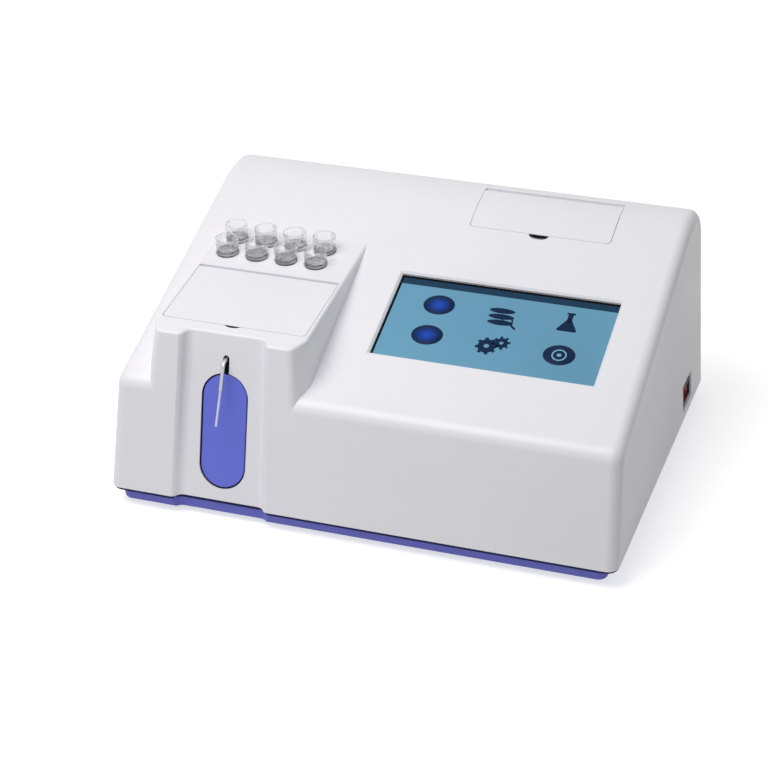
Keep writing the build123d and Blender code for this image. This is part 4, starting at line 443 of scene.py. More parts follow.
class Finish(Enum):
    """Every finish on the analyser: the record's material slots, then those of the added trim and
    of the painted shade.
    """

    case_white = Moulded("case_white", (0.86, 0.85, 0.89))
    base_blue = Moulded("base_blue", (0.135, 0.15, 0.60), Surface.SPARKED)
    key_blue = Moulded("key_blue", (0.128, 0.163, 0.72), Surface.SATIN)
    foot_rubber = Rubber("foot_rubber", (0.02, 0.02, 0.022))
    screw_steel = Metal("screw_steel", (0.62, 0.63, 0.64), 0.32)
    panel_grey = Lacquer("panel_grey", (0.62, 0.63, 0.62))
    pin_steel = Metal("pin_steel", (0.66, 0.66, 0.67), 0.25)
    bay_grey = Moulded("bay_grey", (0.50, 0.51, 0.53), Surface.SPARKED)
    switch_black = Moulded("switch_black", (0.018, 0.018, 0.02), Surface.SPARKED)
    needle_steel = Metal("needle_steel", (0.56, 0.57, 0.60), 0.16, (1.0, 1.0, 12.0))
    tube_clear = Clear("tube_clear", (0.93, 0.94, 0.95), 0.12, 1.40)
    block_aluminium = Metal("block_aluminium", (0.36, 0.37, 0.39), 0.4, (1.0, 1.0, 30.0))
    cell_quartz = Clear("cell_quartz", (0.95, 0.98, 1.0), 0.01, 1.46)
    board_green = Lacquer("board_green", (0.012, 0.10, 0.045), 0.32, 900.0)
    pump_grey = Moulded("pump_grey", (0.06, 0.065, 0.075), Surface.SPARKED)
    rotor_white = Moulded("rotor_white", (0.74, 0.74, 0.70), Surface.SATIN)
    roller_steel = Metal("roller_steel", (0.66, 0.66, 0.67), 0.22, (1.0, 1.0, 20.0))
    motor_steel = Metal("motor_steel", (0.48, 0.48, 0.49), 0.38)
    bench_aluminium = Metal("bench_aluminium", (0.52, 0.53, 0.55), 0.5, (1.0, 1.0, 1.0), 600.0)
    lamp_aluminium = Metal("lamp_aluminium", (0.07, 0.07, 0.075), 0.5)
    lamp_glass = Clear("lamp_glass", (0.98, 0.97, 0.93), 0.02, 1.47)
    lens_glass = Clear("lens_glass", (0.95, 0.98, 1.0), 0.01, 1.52)
    wheel_black = Metal("wheel_black", (0.05, 0.05, 0.055), 0.45)
    filter_glass = Clear("filter_glass", (0.55, 0.30, 0.62), 0.03, 1.5)
    screen_glass = Clear("screen_glass", (0.75, 0.88, 0.95), 0.02, 1.5)
    lcd_frame = Metal("lcd_frame", (0.56, 0.57, 0.58), 0.3)
    bracket_steel = Metal("bracket_steel", (0.55, 0.56, 0.57), 0.35)
    supply_steel = Metal("supply_steel", (0.58, 0.59, 0.60), 0.35)
    paper_white = Moulded("paper_white", (0.86, 0.86, 0.83), Surface.SPARKED, 900.0)
    head_ceramic = Moulded("head_ceramic", (0.16, 0.09, 0.06), Surface.POLISHED)
    platen_rubber = Rubber("platen_rubber", (0.025, 0.025, 0.028))
    gear_white = Moulded("gear_white", (0.76, 0.76, 0.72), Surface.SATIN)
    rocker_red = Moulded("rocker_red", (0.52, 0.012, 0.012), Surface.POLISHED)
    inlet_black = Moulded("inlet_black", (0.02, 0.02, 0.022), Surface.SATIN)
    blade_brass = Metal("blade_brass", (0.72, 0.66, 0.46), 0.25)
    fan_black = Moulded("fan_black", (0.022, 0.022, 0.025), Surface.SATIN)
    guard_wire = Metal("guard_wire", (0.75, 0.76, 0.77), 0.14)
    port_metal = Metal("port_metal", (0.64, 0.65, 0.66), 0.28)
    cup_clear = Clear("cup_clear", (0.97, 0.98, 0.985), 0.01, 1.45, 0.05, 0.45)
    cup_shade = Clear("cup_shade", (0.10, 0.10, 0.11), 0.05, 1.45, 0.5, 0.8)
    tip_milky = Clear("tip_milky", (0.72, 0.78, 1.0), 0.2, 1.40, 0.92)
    picture_blue = Lit("picture_blue", (0.112, 0.27, 0.392))
    picture_bar = Lit("picture_bar", (0.010, 0.042, 0.085), 0.1)
    picture_navy = Lit("picture_navy", (0.003, 0.018, 0.06), 0.1)
    picture_glint = Lit("picture_glint", (0.16, 0.34, 0.50), 0.3)
    picture_beacon = Beacon("picture_beacon", (0.002, 0.014, 0.055), (0.012, 0.065, 0.42))
    # Painted shade: a matt black laid in the scoops, seams, slots and the screen's recess where
    # they fall in shade
    slot_dark = Moulded("slot_dark", (0.004, 0.004, 0.005), Surface.SPARKED, gloss=0.03)
    # Painted shade: the dark line under the shell's lip over the base
    seam_navy = Moulded("seam_navy", (0.020, 0.020, 0.095), Surface.SPARKED, gloss=0.1)

    @cached_property
    def material(self) -> bpy.types.Material:
        """The finish's material, made the first time it is asked for."""
        return self.value.make()


class Shop:
    """Modelling steps done with Blender's own tools, as a modeller does them by hand."""

    @staticmethod
    def only(piece: bpy.types.Object) -> None:
        """Select one object alone and make it active.

        Args:
            piece: the object.
        """
        bpy.ops.object.select_all(action="DESELECT")
        piece.select_set(True)
        bpy.context.view_layer.objects.active = piece

    @staticmethod
    def pick(
        piece: bpy.types.Object, kind: Element, test: Callable[[MeshPart], bool]
    ) -> None:
        """Select parts of a piece in edit mode by a test.

        Args:
            piece: the object, in edit mode.
            kind: what is picked.
            test: says whether a part is picked.
        """
        bpy.ops.mesh.select_mode(type=kind.name)
        bpy.ops.mesh.select_all(action="DESELECT")
        mesh = bmesh.from_edit_mesh(piece.data)
        for part in getattr(mesh, kind.value):
            if test(part):
                part.select_set(True)
        bmesh.update_edit_mesh(piece.data)

    @staticmethod
    def bar(sides: int, radius: float, length: float) -> bpy.types.Object:
        """Start a round piece at the origin, in edit mode and selected all over.

        Args:
            sides: number of sides.
            radius: radius.
            length: length.

        Returns:
            The piece.
        """
        bpy.ops.object.select_all(action="DESELECT")
        bpy.ops.mesh.primitive_cylinder_add(
            vertices=sides, radius=radius * MM, depth=length * MM, location=(0, 0, 0)
        )
        bpy.ops.object.mode_set(mode="EDIT")
        bpy.ops.mesh.select_all(action="SELECT")
        return bpy.context.active_object

    @staticmethod
    def hoop(radius: float, wire: float, sides: int, wire_sides: int) -> bpy.types.Object:
        """Start a ring of wire at the origin, in edit mode and selected all over.

        Args:
            radius: radius of the ring's middle line.
            wire: radius of the wire.
            sides: number of sides round the ring.
            wire_sides: number of sides round the wire.

        Returns:
            The piece.
        """
        bpy.ops.object.select_all(action="DESELECT")
        bpy.ops.mesh.primitive_torus_add(
            major_radius=radius * MM, minor_radius=wire * MM, major_segments=sides,
            minor_segments=wire_sides, location=(0, 0, 0),
        )
        bpy.ops.object.mode_set(mode="EDIT")
        bpy.ops.mesh.select_all(action="SELECT")
        return bpy.context.active_object

    @staticmethod
    def settle(
        piece: bpy.types.Object, name: str, crease: float = FLAT_CREASE
    ) -> bpy.types.Object:
        """Name a piece, put its place in its mesh and smooth its soft edges.

        Args:
            piece: the object.
            name: its new name.
            crease: angle under which an edge looks round.

        Returns:
            The same object.
        """
        Shop.only(piece)
        piece.name = piece.data.name = name
        bpy.ops.object.transform_apply(location=True, rotation=True, scale=True)
        bpy.ops.object.shade_smooth_by_angle(angle=radians(crease))
        return piece

    @staticmethod
    def placed(
        piece: bpy.types.Object, name: str, centre: Point, tilt: float,
        crease: float = FLAT_CREASE,
    ) -> bpy.types.Object:
        """Lean a piece that was shaped at the origin, move it to its place and settle it.

        Args:
            piece: the object, in edit or object mode.
            name: its name.
            centre: its place.
            tilt: turn about X.
            crease: angle under which an edge looks round.

        Returns:
            The same object.
        """
        bpy.ops.object.mode_set(mode="OBJECT")
        piece.rotation_euler = (radians(tilt), 0, 0)
        piece.location = [value * MM for value in centre]
        return Shop.settle(piece, name, crease)

    @staticmethod
    def slab(
        name: str, size: Point, centre: Point, edge: float, tilt: float, swing: float = 0.0
    ) -> bpy.types.Object:
        """A flat or boxy piece with rounded edges.

        Args:
            name: piece name.
            size: lengths along X, Y and Z.
            centre: middle.
            edge: radius of its edges.
            tilt: turn about X.
            swing: turn about its own Z, before it is tilted.

        Returns:
            The piece.
        """
        bpy.ops.object.select_all(action="DESELECT")
        bpy.ops.mesh.primitive_cube_add(size=1.0, location=(0, 0, 0))
        piece = bpy.context.active_object
        piece.scale = [length * MM for length in size]
        bpy.ops.object.transform_apply(scale=True)
        bpy.ops.object.mode_set(mode="EDIT")
        bpy.ops.mesh.select_all(action="SELECT")
        bpy.ops.mesh.bevel(offset=edge * MM, segments=3, affect="EDGES")
        bpy.ops.object.mode_set(mode="OBJECT")
        piece.rotation_euler = (0, 0, radians(swing))
        bpy.ops.object.transform_apply(rotation=True)
        return Shop.placed(piece, name, centre, tilt)

    @staticmethod
    def disc(
        name: str, radius: float, thick: float, centre: Point, tilt: float, squat: float
    ) -> bpy.types.Object:
        """A thin round or oval plate with rounded rims.

        Args:
            name: piece name.
            radius: half its width.
            thick: its thickness.
            centre: middle.
            tilt: turn about X.
            squat: its length along Y as a share of its width, before it is turned.

        Returns:
            The piece.
        """
        piece = Shop.bar(64, radius, thick)
        Shop.pick(piece, Element.FACE, lambda face: abs(face.normal.z) > 0.9)
        bpy.ops.mesh.bevel(offset=0.3 * thick * MM, segments=2, affect="EDGES")
        bpy.ops.mesh.select_all(action="SELECT")
        bpy.ops.transform.resize(value=(1.0, squat, 1.0))
        return Shop.placed(piece, name, centre, tilt)

    @staticmethod
    def ring(
        name: str, radius: float, wire: float, centre: Point, sides: int = 64,
        flatten: float = 1.0, tilt: float = 0.0,
    ) -> bpy.types.Object:
        """A ring of round or flattened wire.

        Args:
            name: piece name.
            radius: radius of the ring's middle line.
            wire: radius of the wire.
            centre: middle.
            sides: number of sides round the ring.
            flatten: share of the wire's height that is kept.
            tilt: turn about X.

        Returns:
            The piece.
        """
        piece = Shop.hoop(radius, wire, sides, 12)
        bpy.ops.transform.resize(value=(1.0, 1.0, flatten))
        return Shop.placed(piece, name, centre, tilt, WIRE_CREASE)

    @staticmethod
    def long_ring(
        name: str, radius: float, straight: float, wire: float, centre: Point, tilt: float
    ) -> bpy.types.Object:
        """A ring of wire with two straight sides.

        Args:
            name: piece name.
            radius: radius of its two ends.
            straight: length of its straight sides.
            wire: radius of the wire.
            centre: middle.
            tilt: turn about X.

        Returns:
            The piece.
        """
        piece = Shop.hoop(radius, wire, 66, 10)
        for side in (-1, 1):
            Shop.pick(piece, Element.VERT, lambda vertex: side * vertex.co.y > 0)
            bpy.ops.transform.translate(value=(0, side * straight / 2 * MM, 0))
        return Shop.placed(piece, name, centre, tilt, WIRE_CREASE)

    @staticmethod
    def half_oval(
        name: str, half_width: float, reach: float, thick: float, place: Point, tilt: float
    ) -> bpy.types.Object:
        """The front half of a thin oval plate, cut along its width.

        Args:
            name: piece name.
            half_width: half its width.
            reach: its length to the front.
            thick: its thickness.
            place: middle of its straight edge.
            tilt: turn about X.

        Returns:
            The piece.
        """
        piece = Shop.bar(64, half_width, thick)
        bpy.ops.transform.resize(value=(1.0, reach / half_width, 1.0))
        bpy.ops.mesh.bisect(
            plane_co=(0, 0, 0), plane_no=(0, 1, 0), clear_outer=True, use_fill=True
        )
        return Shop.placed(piece, name, place, tilt)

    @staticmethod
    def joined(name: str, pieces: list[bpy.types.Object]) -> bpy.types.Object:
        """Several pieces of one finish joined into one object.

        Args:
            name: name of the joined piece.
            pieces: the pieces.

        Returns:
            The joined piece.
        """
        bpy.ops.object.select_all(action="DESELECT")
        for piece in pieces:
            piece.select_set(True)
        bpy.context.view_layer.objects.active = pieces[0]
        bpy.ops.object.join()
        return Shop.settle(bpy.context.active_object, name)

    @staticmethod
    def copied(piece: bpy.types.Object, name: str, shift: Point) -> bpy.types.Object:
        """A copy of a piece with its own mesh, moved.

        Args:
            piece: the piece to copy.
            name: the copy's name.
            shift: move.

        Returns:
            The copy.
        """
        Shop.only(piece)
        bpy.ops.object.duplicate(linked=False)
        twin = bpy.context.active_object
        twin.location = [value * MM for value in shift]
        return Shop.settle(twin, name)


@dataclass
class Assembly:
    """What every sub-assembly of the analyser shares."""

    nodes: dict[str, bpy.types.Object]
    made: list[bpy.types.Object] = field(default_factory=list)

    def dress(self, finish: Finish, *names: str) -> None:
        """Give a finish to CAD nodes.

        Args:
            finish: the finish.
            names: the nodes.
        """
        for name in names:
            node = self.nodes[name]
            for place in node.material_slots:
                place.material = finish.material
            log.info("node %s has finish %s", name, finish.name)

    def add(
        self, piece: bpy.types.Object, finish: Finish, body: str, slot: str | None = None
    ) -> bpy.types.Object:
        """Finish a new piece and let it ride on a body.

        Args:
            piece: the piece.
            finish: its finish.
            body: the CAD body that it moves with.
            slot: material slot of the record, where the finish isn't one of its slots; not used.

        Returns:
            The piece.
        """
        piece.data.materials.clear()
        piece.data.materials.append(finish.material)
        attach(piece, body)
        self.made.append(piece)
        log.info("piece %s rides on %s", piece.name, body)
        return piece

    def build(self) -> None:
        """Make and finish the sub-assembly's pieces."""
        raise NotImplementedError


@dataclass
class Housing(Assembly):
    """White case, blue base, feet and screws."""

    foot_bead: tuple[float, float, float] = (9.45, 0.5, 2.6)
    foot_places: tuple[tuple[float, float], ...] = (
        (-135.25, -106.65), (-135.25, 106.65), (135.25, -106.65), (135.25, 106.65),
    )
    band_height: float = 3.0
    band_skin: float = 0.12
    band_reach: tuple[float, float] = (172.0, 118.0)

    def build(self) -> None:
        """Dress the shell, bead the feet and paint shade on the seam over the base."""
        self.dress(Finish.case_white, "upper_case")
        self.dress(Finish.base_blue, "base_tray")
        self.dress(Finish.foot_rubber, "rubber_feet")
        self.dress(Finish.screw_steel, "case_screws")
        self.feet()
        self.seam_band()

    def feet(self) -> None:
        """A soft bead round each foot."""
        radius, wire, height = self.foot_bead
        x, y = self.foot_places[0]
        first = Shop.ring("foot_groove_1", radius, wire, (x, y, height))
        self.add(first, Finish.foot_rubber, "housing")
        for number, (foot_x, foot_y) in enumerate(self.foot_places[1:], start=2):
            twin = Shop.copied(first, f"foot_groove_{number}", (foot_x - x, foot_y - y, 0))
            self.add(twin, Finish.foot_rubber, "housing")

    def on_outline(self, face: bmesh.types.BMFace) -> bool:
        """Whether a face of the base stands on its outline and looks outwards.

        Args:
            face: the face.

        Returns:
            True for such a face below the seam.
        """
        place = face.calc_center_median() / MM
        outer = abs(place.x) > self.band_reach[0] or abs(place.y) > self.band_reach[1]
        flat = Vector((face.normal.x, face.normal.y))
        return outer and abs(face.normal.z) < 0.3 and flat.dot(place.xy) > 0 and place.z < SEAM_Z

    def seam_band(self) -> None:
        """A dark band of painted shade in the recess where the shell overhangs the base."""
        band = bpy.data.objects.new("seam_band", self.nodes["base_tray"].data.copy())
        bpy.context.scene.collection.objects.link(band)
        Shop.only(band)
        bpy.ops.object.mode_set(mode="EDIT")
        bpy.ops.mesh.select_all(action="SELECT")
        bpy.ops.mesh.remove_doubles(threshold=0.01 * MM)
        bpy.ops.mesh.bisect(
            plane_co=(0, 0, (SEAM_Z - self.band_height) * MM), plane_no=(0, 0, 1),
            clear_inner=True,
        )
        Shop.pick(band, Element.FACE, lambda face: not self.on_outline(face))
        bpy.ops.mesh.delete(type="FACE")
        bpy.ops.mesh.select_all(action="SELECT")
        bpy.ops.transform.shrink_fatten(value=self.band_skin * MM)
        bpy.ops.object.mode_set(mode="OBJECT")
        bpy.ops.object.modifier_add(type="SOLIDIFY")
        band.modifiers[0].thickness = 2 * self.band_skin * MM
        bpy.ops.object.modifier_apply(modifier=band.modifiers[0].name)
        self.add(Shop.settle(band, "seam_band"), Finish.seam_navy, "housing", "base_blue")


@dataclass
class Deck:
    """The sloping deck as a drawing board: X to the right, S up the slope."""

    slope: float = DECK_SLOPE
    edge: tuple[float, float] = DECK_EDGE

    def point(self, x: float, s: float, lift: float) -> Point:
        """A place on the deck.

        Args:
            x: X.
            s: distance up the slope from its front edge.
            lift: height off the deck.

        Returns:
            The place.
        """
        angle = radians(self.slope)
        return (
            x,
            self.edge[0] + s * cos(angle) - lift * sin(angle),
            self.edge[1] + s * sin(angle) + lift * cos(angle),
        )


@dataclass
class Display(Assembly):
    """Touch display with its picture of plain round and outline symbols."""

    deck: Deck = field(default_factory=Deck)
    left: float = -11.7
    right: float = 143.4
    near: float = 55.6
    far: float = 132.0
    glass_depth: float = 3.2
    rim: float = 0.3
    left_gap: float = 1.5
    right_gap: float = 0.4
    top_gap: float = 1.9
    bar: float = 5.6
    thick: float = 0.12
    shade_sheet_lift: float = 0.07
    ground_lift: float = 0.15
    outline_lift: float = 0.18
    disc_lift: float = 0.22
    halo_lift: float = 0.28
    mark_lift: float = 0.3
    symbol_places: tuple[tuple[float, float], ...] = (
        (21.3, 108.9), (66.2, 106.2), (112.4, 107.2), (21.3, 80.4), (67.3, 79.4), (113.6, 79.4),
    )
    disc_radius: float = 11.0
    disc_squat: float = 0.82
    halo: tuple[float, float] = (4.6, 0.55)
    pip_radius: float = 1.7
    dot_thick: float = 0.1
    plate_radius: float = 9.0
    plate_squat: float = 0.27
    plate_step: tuple[float, float] = (-0.6, 5.4)
    lens_place: tuple[float, float] = (5.0, -3.4)
    lens_size: tuple[float, float] = (3.6, 0.6)
    handle_place: tuple[float, float] = (10.0, -8.0)
    handle_size: tuple[float, float] = (6.0, 1.5)
    handle_swing: float = -43.0
    flask_radius: float = 9.0
    flask_corner: float = 2.4
    flask_drop: float = 1.5
    flask_bars: tuple[tuple[str, float, float, float], ...] = (
        ("flask_neck", 6.5, 3.6, 8.0), ("flask_lip", 10.4, 6.0, 1.6),
    )
    cog_places: tuple[Point, ...] = ((-3.6, -1.2, 6.2), (5.6, 3.2, 4.6))
    cog_teeth: int = 8
    tooth_height: float = 1.6
    hub_share: float = 0.3
    hub_squat: float = 0.9

    def build(self) -> None:
        """Dress the layers and lay the picture on the glass."""
        self.dress(Finish.screen_glass, "touch_glass")
        self.dress(Finish.lcd_frame, "lcd_module")
        self.dress(Finish.bracket_steel, "display_bracket")
        self.picture()
        self.symbols()

    def on_glass(self, x: float, s: float, lift: float) -> Point:
        """A place on the glass, some mm above it."""
        return self.deck.point(x, s, lift - self.glass_depth)

    def lay(self, piece: bpy.types.Object, finish: Finish) -> None:
        """Finish a piece of the picture and let it ride on the housing."""
        self.add(piece, finish, "housing", "screen_glass")

    def sheet(
        self, name: str, x: float, s: float, width: float, length: float, lift: float
    ) -> bpy.types.Object:
        """A thin printed sheet lying on the glass.

        Args:
            name: piece name.
            x: middle X.
            s: middle distance up the slope.
            width: width.
            length: length up the slope.
            lift: height of its middle above the glass.

        Returns:
            The piece.
        """
        size = (width, length, self.thick)
        return Shop.slab(name, size, self.on_glass(x, s, lift), self.thick * 0.3, self.deck.slope)

    def dot(
        self, name: str, x: float, s: float, radius: float, lift: float, squat: float
    ) -> bpy.types.Object:
        """A thin oval disc on the picture.

        Args:
            name: piece name.
            x: middle X.
            s: middle distance up the slope.
            radius: half its width.
            lift: height above the glass.
            squat: its length up the slope as a share of its width.

        Returns:
            The piece.
        """
        place = self.on_glass(x, s, lift)
        return Shop.disc(name, radius, self.dot_thick, place, self.deck.slope, squat)

    def circlet(
        self, name: str, x: float, s: float, size: tuple[float, float], lift: float
    ) -> bpy.types.Object:
        """A thin flat ring on the picture.

        Args:
            name: piece name.
            x: middle X.
            s: middle distance up the slope.
            size: radius of its middle line and half its width.
            lift: height above the glass.

        Returns:
            The piece.
        """
        place = self.on_glass(x, s, lift)
        return Shop.ring(name, *size, place, flatten=0.1, tilt=self.deck.slope)

    def picture(self) -> None:
        """The dark sheet of painted shade in the glass's recess, the lit ground and its dark top
        bar.
        """
        shade_sheet = self.sheet(
            "picture_border", (self.left + self.right) / 2, (self.near + self.far) / 2,
            self.right - self.left - self.rim, self.far - self.near - self.rim, self.shade_sheet_lift,
        )
        self.lay(shade_sheet, Finish.slot_dark)
        left, right = self.left + self.left_gap, self.right - self.right_gap
        near, far = self.near + self.rim, self.far - self.top_gap
        middle, width = (left + right) / 2, right - left
        ground = self.sheet(
            "picture_ground", middle, (near + far) / 2, width, far - near, self.ground_lift
        )
        self.lay(ground, Finish.picture_blue)
        bar = self.sheet(
            "picture_top_bar", middle, far - self.bar / 2, width, self.bar, self.disc_lift
        )
        self.lay(bar, Finish.picture_bar)

    def symbols(self) -> None:
        """Six plain symbols in two rows."""
        first, second, third, fourth, fifth, sixth = self.symbol_places
        for number, place, finish in (
            (1, first, Finish.picture_beacon), (4, fourth, Finish.picture_beacon),
            (6, sixth, Finish.picture_navy),
        ):
            name = f"symbol_{number}"
            disc = self.dot(name, *place, self.disc_radius, self.disc_lift, self.disc_squat)
            self.lay(disc, finish)
        self.lay(
            self.circlet("symbol_6_ring", *sixth, self.halo, self.halo_lift), Finish.picture_glint
        )
        pip = self.dot("symbol_6_pip", *sixth, self.pip_radius, self.mark_lift, self.disc_squat)
        self.lay(pip, Finish.picture_glint)
        self.lay(self.stack(*second), Finish.picture_navy)
        self.lay(self.flask(*third), Finish.picture_navy)
        self.lay(self.cogs(*fifth), Finish.picture_navy)
        x, s = fifth
        for number, (shift, rise, radius) in enumerate(self.cog_places, start=1):
            name = f"cog_hub_{number}"
            hub = self.dot(
                name, x + shift, s + rise, radius * self.hub_share, self.mark_lift, self.hub_squat
            )
            self.lay(hub, Finish.picture_blue)

    def stack(self, x: float, s: float) -> bpy.types.Object:
        """Three stacked oval plates with a looking glass, for stored results.

        Args:
            x: middle X.
            s: middle distance up the slope.

        Returns:
            The piece.
        """
        aside, up = self.plate_step
        parts = [
            self.dot(
                f"plate_{row}", x + aside * row, s + up * row, self.plate_radius, self.disc_lift,
                self.plate_squat,
            )
            for row in (-1, 0, 1)
        ]
        aside, up = self.lens_place
        parts.append(
            self.circlet("stack_ring", x + aside, s + up, self.lens_size, self.mark_lift)
        )
        aside, up = self.handle_place
        parts.append(Shop.slab(
            "stack_handle", (*self.handle_size, self.thick),
            self.on_glass(x + aside, s + up, self.mark_lift), 0.04, self.deck.slope,
            self.handle_swing,
        ))
        return Shop.joined("symbol_2", parts)

    def flask(self, x: float, s: float) -> bpy.types.Object:
        """A laboratory flask in outline.

        Args:
            x: middle X.
            s: middle distance up the slope.

        Returns:
            The piece.
        """
        body = Shop.bar(3, self.flask_radius, self.thick)
        Shop.pick(
            body, Element.EDGE,
            lambda edge: abs((edge.verts[0].co - edge.verts[1].co).z) > 0.05 * MM,
        )
        bpy.ops.mesh.bevel(offset=self.flask_corner * MM, segments=4, affect="EDGES")
        place = self.on_glass(x, s - self.flask_drop, self.outline_lift)
        parts = [Shop.placed(body, "flask_body", place, self.deck.slope)]
        for name, rise, width, length in self.flask_bars:
            parts.append(self.sheet(name, x, s + rise, width, length, self.outline_lift))
        return Shop.joined("symbol_3", parts)

    def cogs(self, x: float, s: float) -> bpy.types.Object:
        """Two cogs side by side.

        Args:
            x: middle X.
            s: middle distance up the slope.

        Returns:
            The piece.
        """
        parts = []
        for index, (shift, rise, radius) in enumerate(self.cog_places):
            cog = Shop.bar(2 * self.cog_teeth, radius, self.thick)
            Shop.pick(cog, Element.FACE, self.tooth)
            bpy.ops.mesh.extrude_faces_move(
                TRANSFORM_OT_shrink_fatten={"value": self.tooth_height * MM}
            )
            place = self.on_glass(x + shift, s + rise, self.outline_lift)
            parts.append(Shop.placed(cog, f"cog_{index}", place, self.deck.slope))
        return Shop.joined("symbol_5", parts)

    def tooth(self, face: bmesh.types.BMFace) -> bool:
        """Whether a face of a cog is one of its rim's that carries a tooth.

        Args:
            face: the face.

        Returns:
            True for every second face round the rim.
        """
        if abs(face.normal.z) >= 0.1:
            return False
        step = 360 / self.cog_teeth
        turn = degrees(Vector((face.normal.x, face.normal.y)).angle_signed(Vector((1, 0))))
        return turn % step < step / 2


@dataclass
class SampleStation(Assembly):
    """Sample lid, key, needle, cups and what is under the lid."""

    cups: int = 8
    bead_radius: float = 7.75
    bead_wire: float = 0.42
    bead_sink: float = 0.1
    cup_shade_rings: tuple[Point, ...] = ((7.4, 0.38, 0.6), (7.0, 0.4, 3.0))
    scoop: Point = (BLOCK_X, -86.11, 129.45)
    scoop_size: tuple[float, float, float] = (5.5, 2.2, 0.3)
    block_slope: float = 4.45
    key_middle: Point = (BLOCK_X, -113.071, 62.8)
    key_lean: float = 75.25
    key_size: tuple[float, float] = (32.0, 80.24)
    key_gap: float = 0.8
    gap_shade_wire: float = 0.36
    gap_shade_depth: float = 1.1
    slot_shade_size: Point = (4.3, 5.6, 0.4)
    slot_shade_rise: float = 3.8
    slot_shade_depth: float = 1.7

    def build(self) -> None:
        """Dress the station, paint shade into its gaps and scoop, bead the cups and paint shade on
        their bases.
        """
        self.scoop_shade()
        self.key_shades()
        self.dress(Finish.case_white, "sample_lid")
        self.dress(Finish.key_blue, "aspirate_key")
        self.dress(Finish.needle_steel, "aspiration_needle")
        self.dress(Finish.tip_milky, "needle_tip_tube")
        self.dress(Finish.tube_clear, "sample_line", "pump_tube", "waste_line")
        self.dress(Finish.bay_grey, "sample_bay")
        self.dress(Finish.switch_black, "key_microswitch", "waste_spigot")
        self.dress(Finish.pin_steel, "lid_hinge_pins")
        self.dress(Finish.block_aluminium, "flow_cell_block")
        self.dress(Finish.cell_quartz, "flow_cell")
        self.dress(Finish.board_green, "detector_board")
        self.dress(Finish.pump_grey, "pump_housing")
        self.dress(Finish.rotor_white, "pump_rotor")
        self.dress(Finish.roller_steel, "pump_rollers")
        self.dress(Finish.motor_steel, "pump_motor")
        for number in range(1, self.cups + 1):
            node = f"sample_cup_{number}"
            self.dress(Finish.cup_clear, node)
            self.cup_bead(number, node)

    def scoop_shade(self) -> None:
        """A dark plate of painted shade on the floor of the finger scoop in front of the lid."""
        scoop_shade_plate = Shop.half_oval(
            "sample_scoop_liner", *self.scoop_size, self.scoop, self.block_slope
        )
        self.add(scoop_shade_plate, Finish.slot_dark, "housing", "switch_black")

    def on_key(self, rise: float, lift: float) -> Point:
        """A place on the key's plane.

        Args:
            rise: distance up the plane from the key's middle.
            lift: height off the plane, less than 0 behind it.

        Returns:
            The place.
        """
        x, y, z = self.key_middle
        angle = radians(self.key_lean)
        return (
            x, y + rise * cos(angle) - lift * sin(angle), z + rise * sin(angle) + lift * cos(angle)
        )

    def key_shades(self) -> None:
        """Painted shade: a dark ring in the gap round the key, and a dark plate behind the needle
        slot's foot.
        """
        width, length = self.key_size
        gap_shade = Shop.long_ring(
            "key_seal", (width + self.key_gap) / 2, length - width, self.gap_shade_wire,
            self.on_key(0, -self.gap_shade_depth), self.key_lean,
        )
        self.add(gap_shade, Finish.slot_dark, "housing", "switch_black")
        place = self.on_key(length / 2 + self.slot_shade_rise, -self.slot_shade_depth)
        slot_shade_plate = Shop.slab("slot_blind", self.slot_shade_size, place, 0.1, self.key_lean)
        self.add(slot_shade_plate, Finish.slot_dark, "housing", "switch_black")

    def cup_bead(self, number: int, node: str) -> None:
        """A rolled bead round the mouth of a cup, and dark rings of painted shade at the rims of
        its thick base.

        Args:
            number: the cup's number.
            node: the cup's CAD node.
        """
        low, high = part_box(node)
        middle = (low + high) / 2 / MM
        ring = Shop.ring(
            f"cup_bead_{number}", self.bead_radius, self.bead_wire,
            (middle.x, middle.y, high.z / MM - self.bead_sink), sides=48,
        )
        self.add(ring, Finish.cup_clear, node)
        rings = []
        for row, (radius, wire, rise) in enumerate(self.cup_shade_rings):
            place = (middle.x, middle.y, low.z / MM + rise)
            rings.append(Shop.ring(f"cup_ring_{row}", radius, wire, place, sides=48))
        self.add(Shop.joined(f"cup_foot_{number}", rings), Finish.cup_shade, node, "cup_clear")


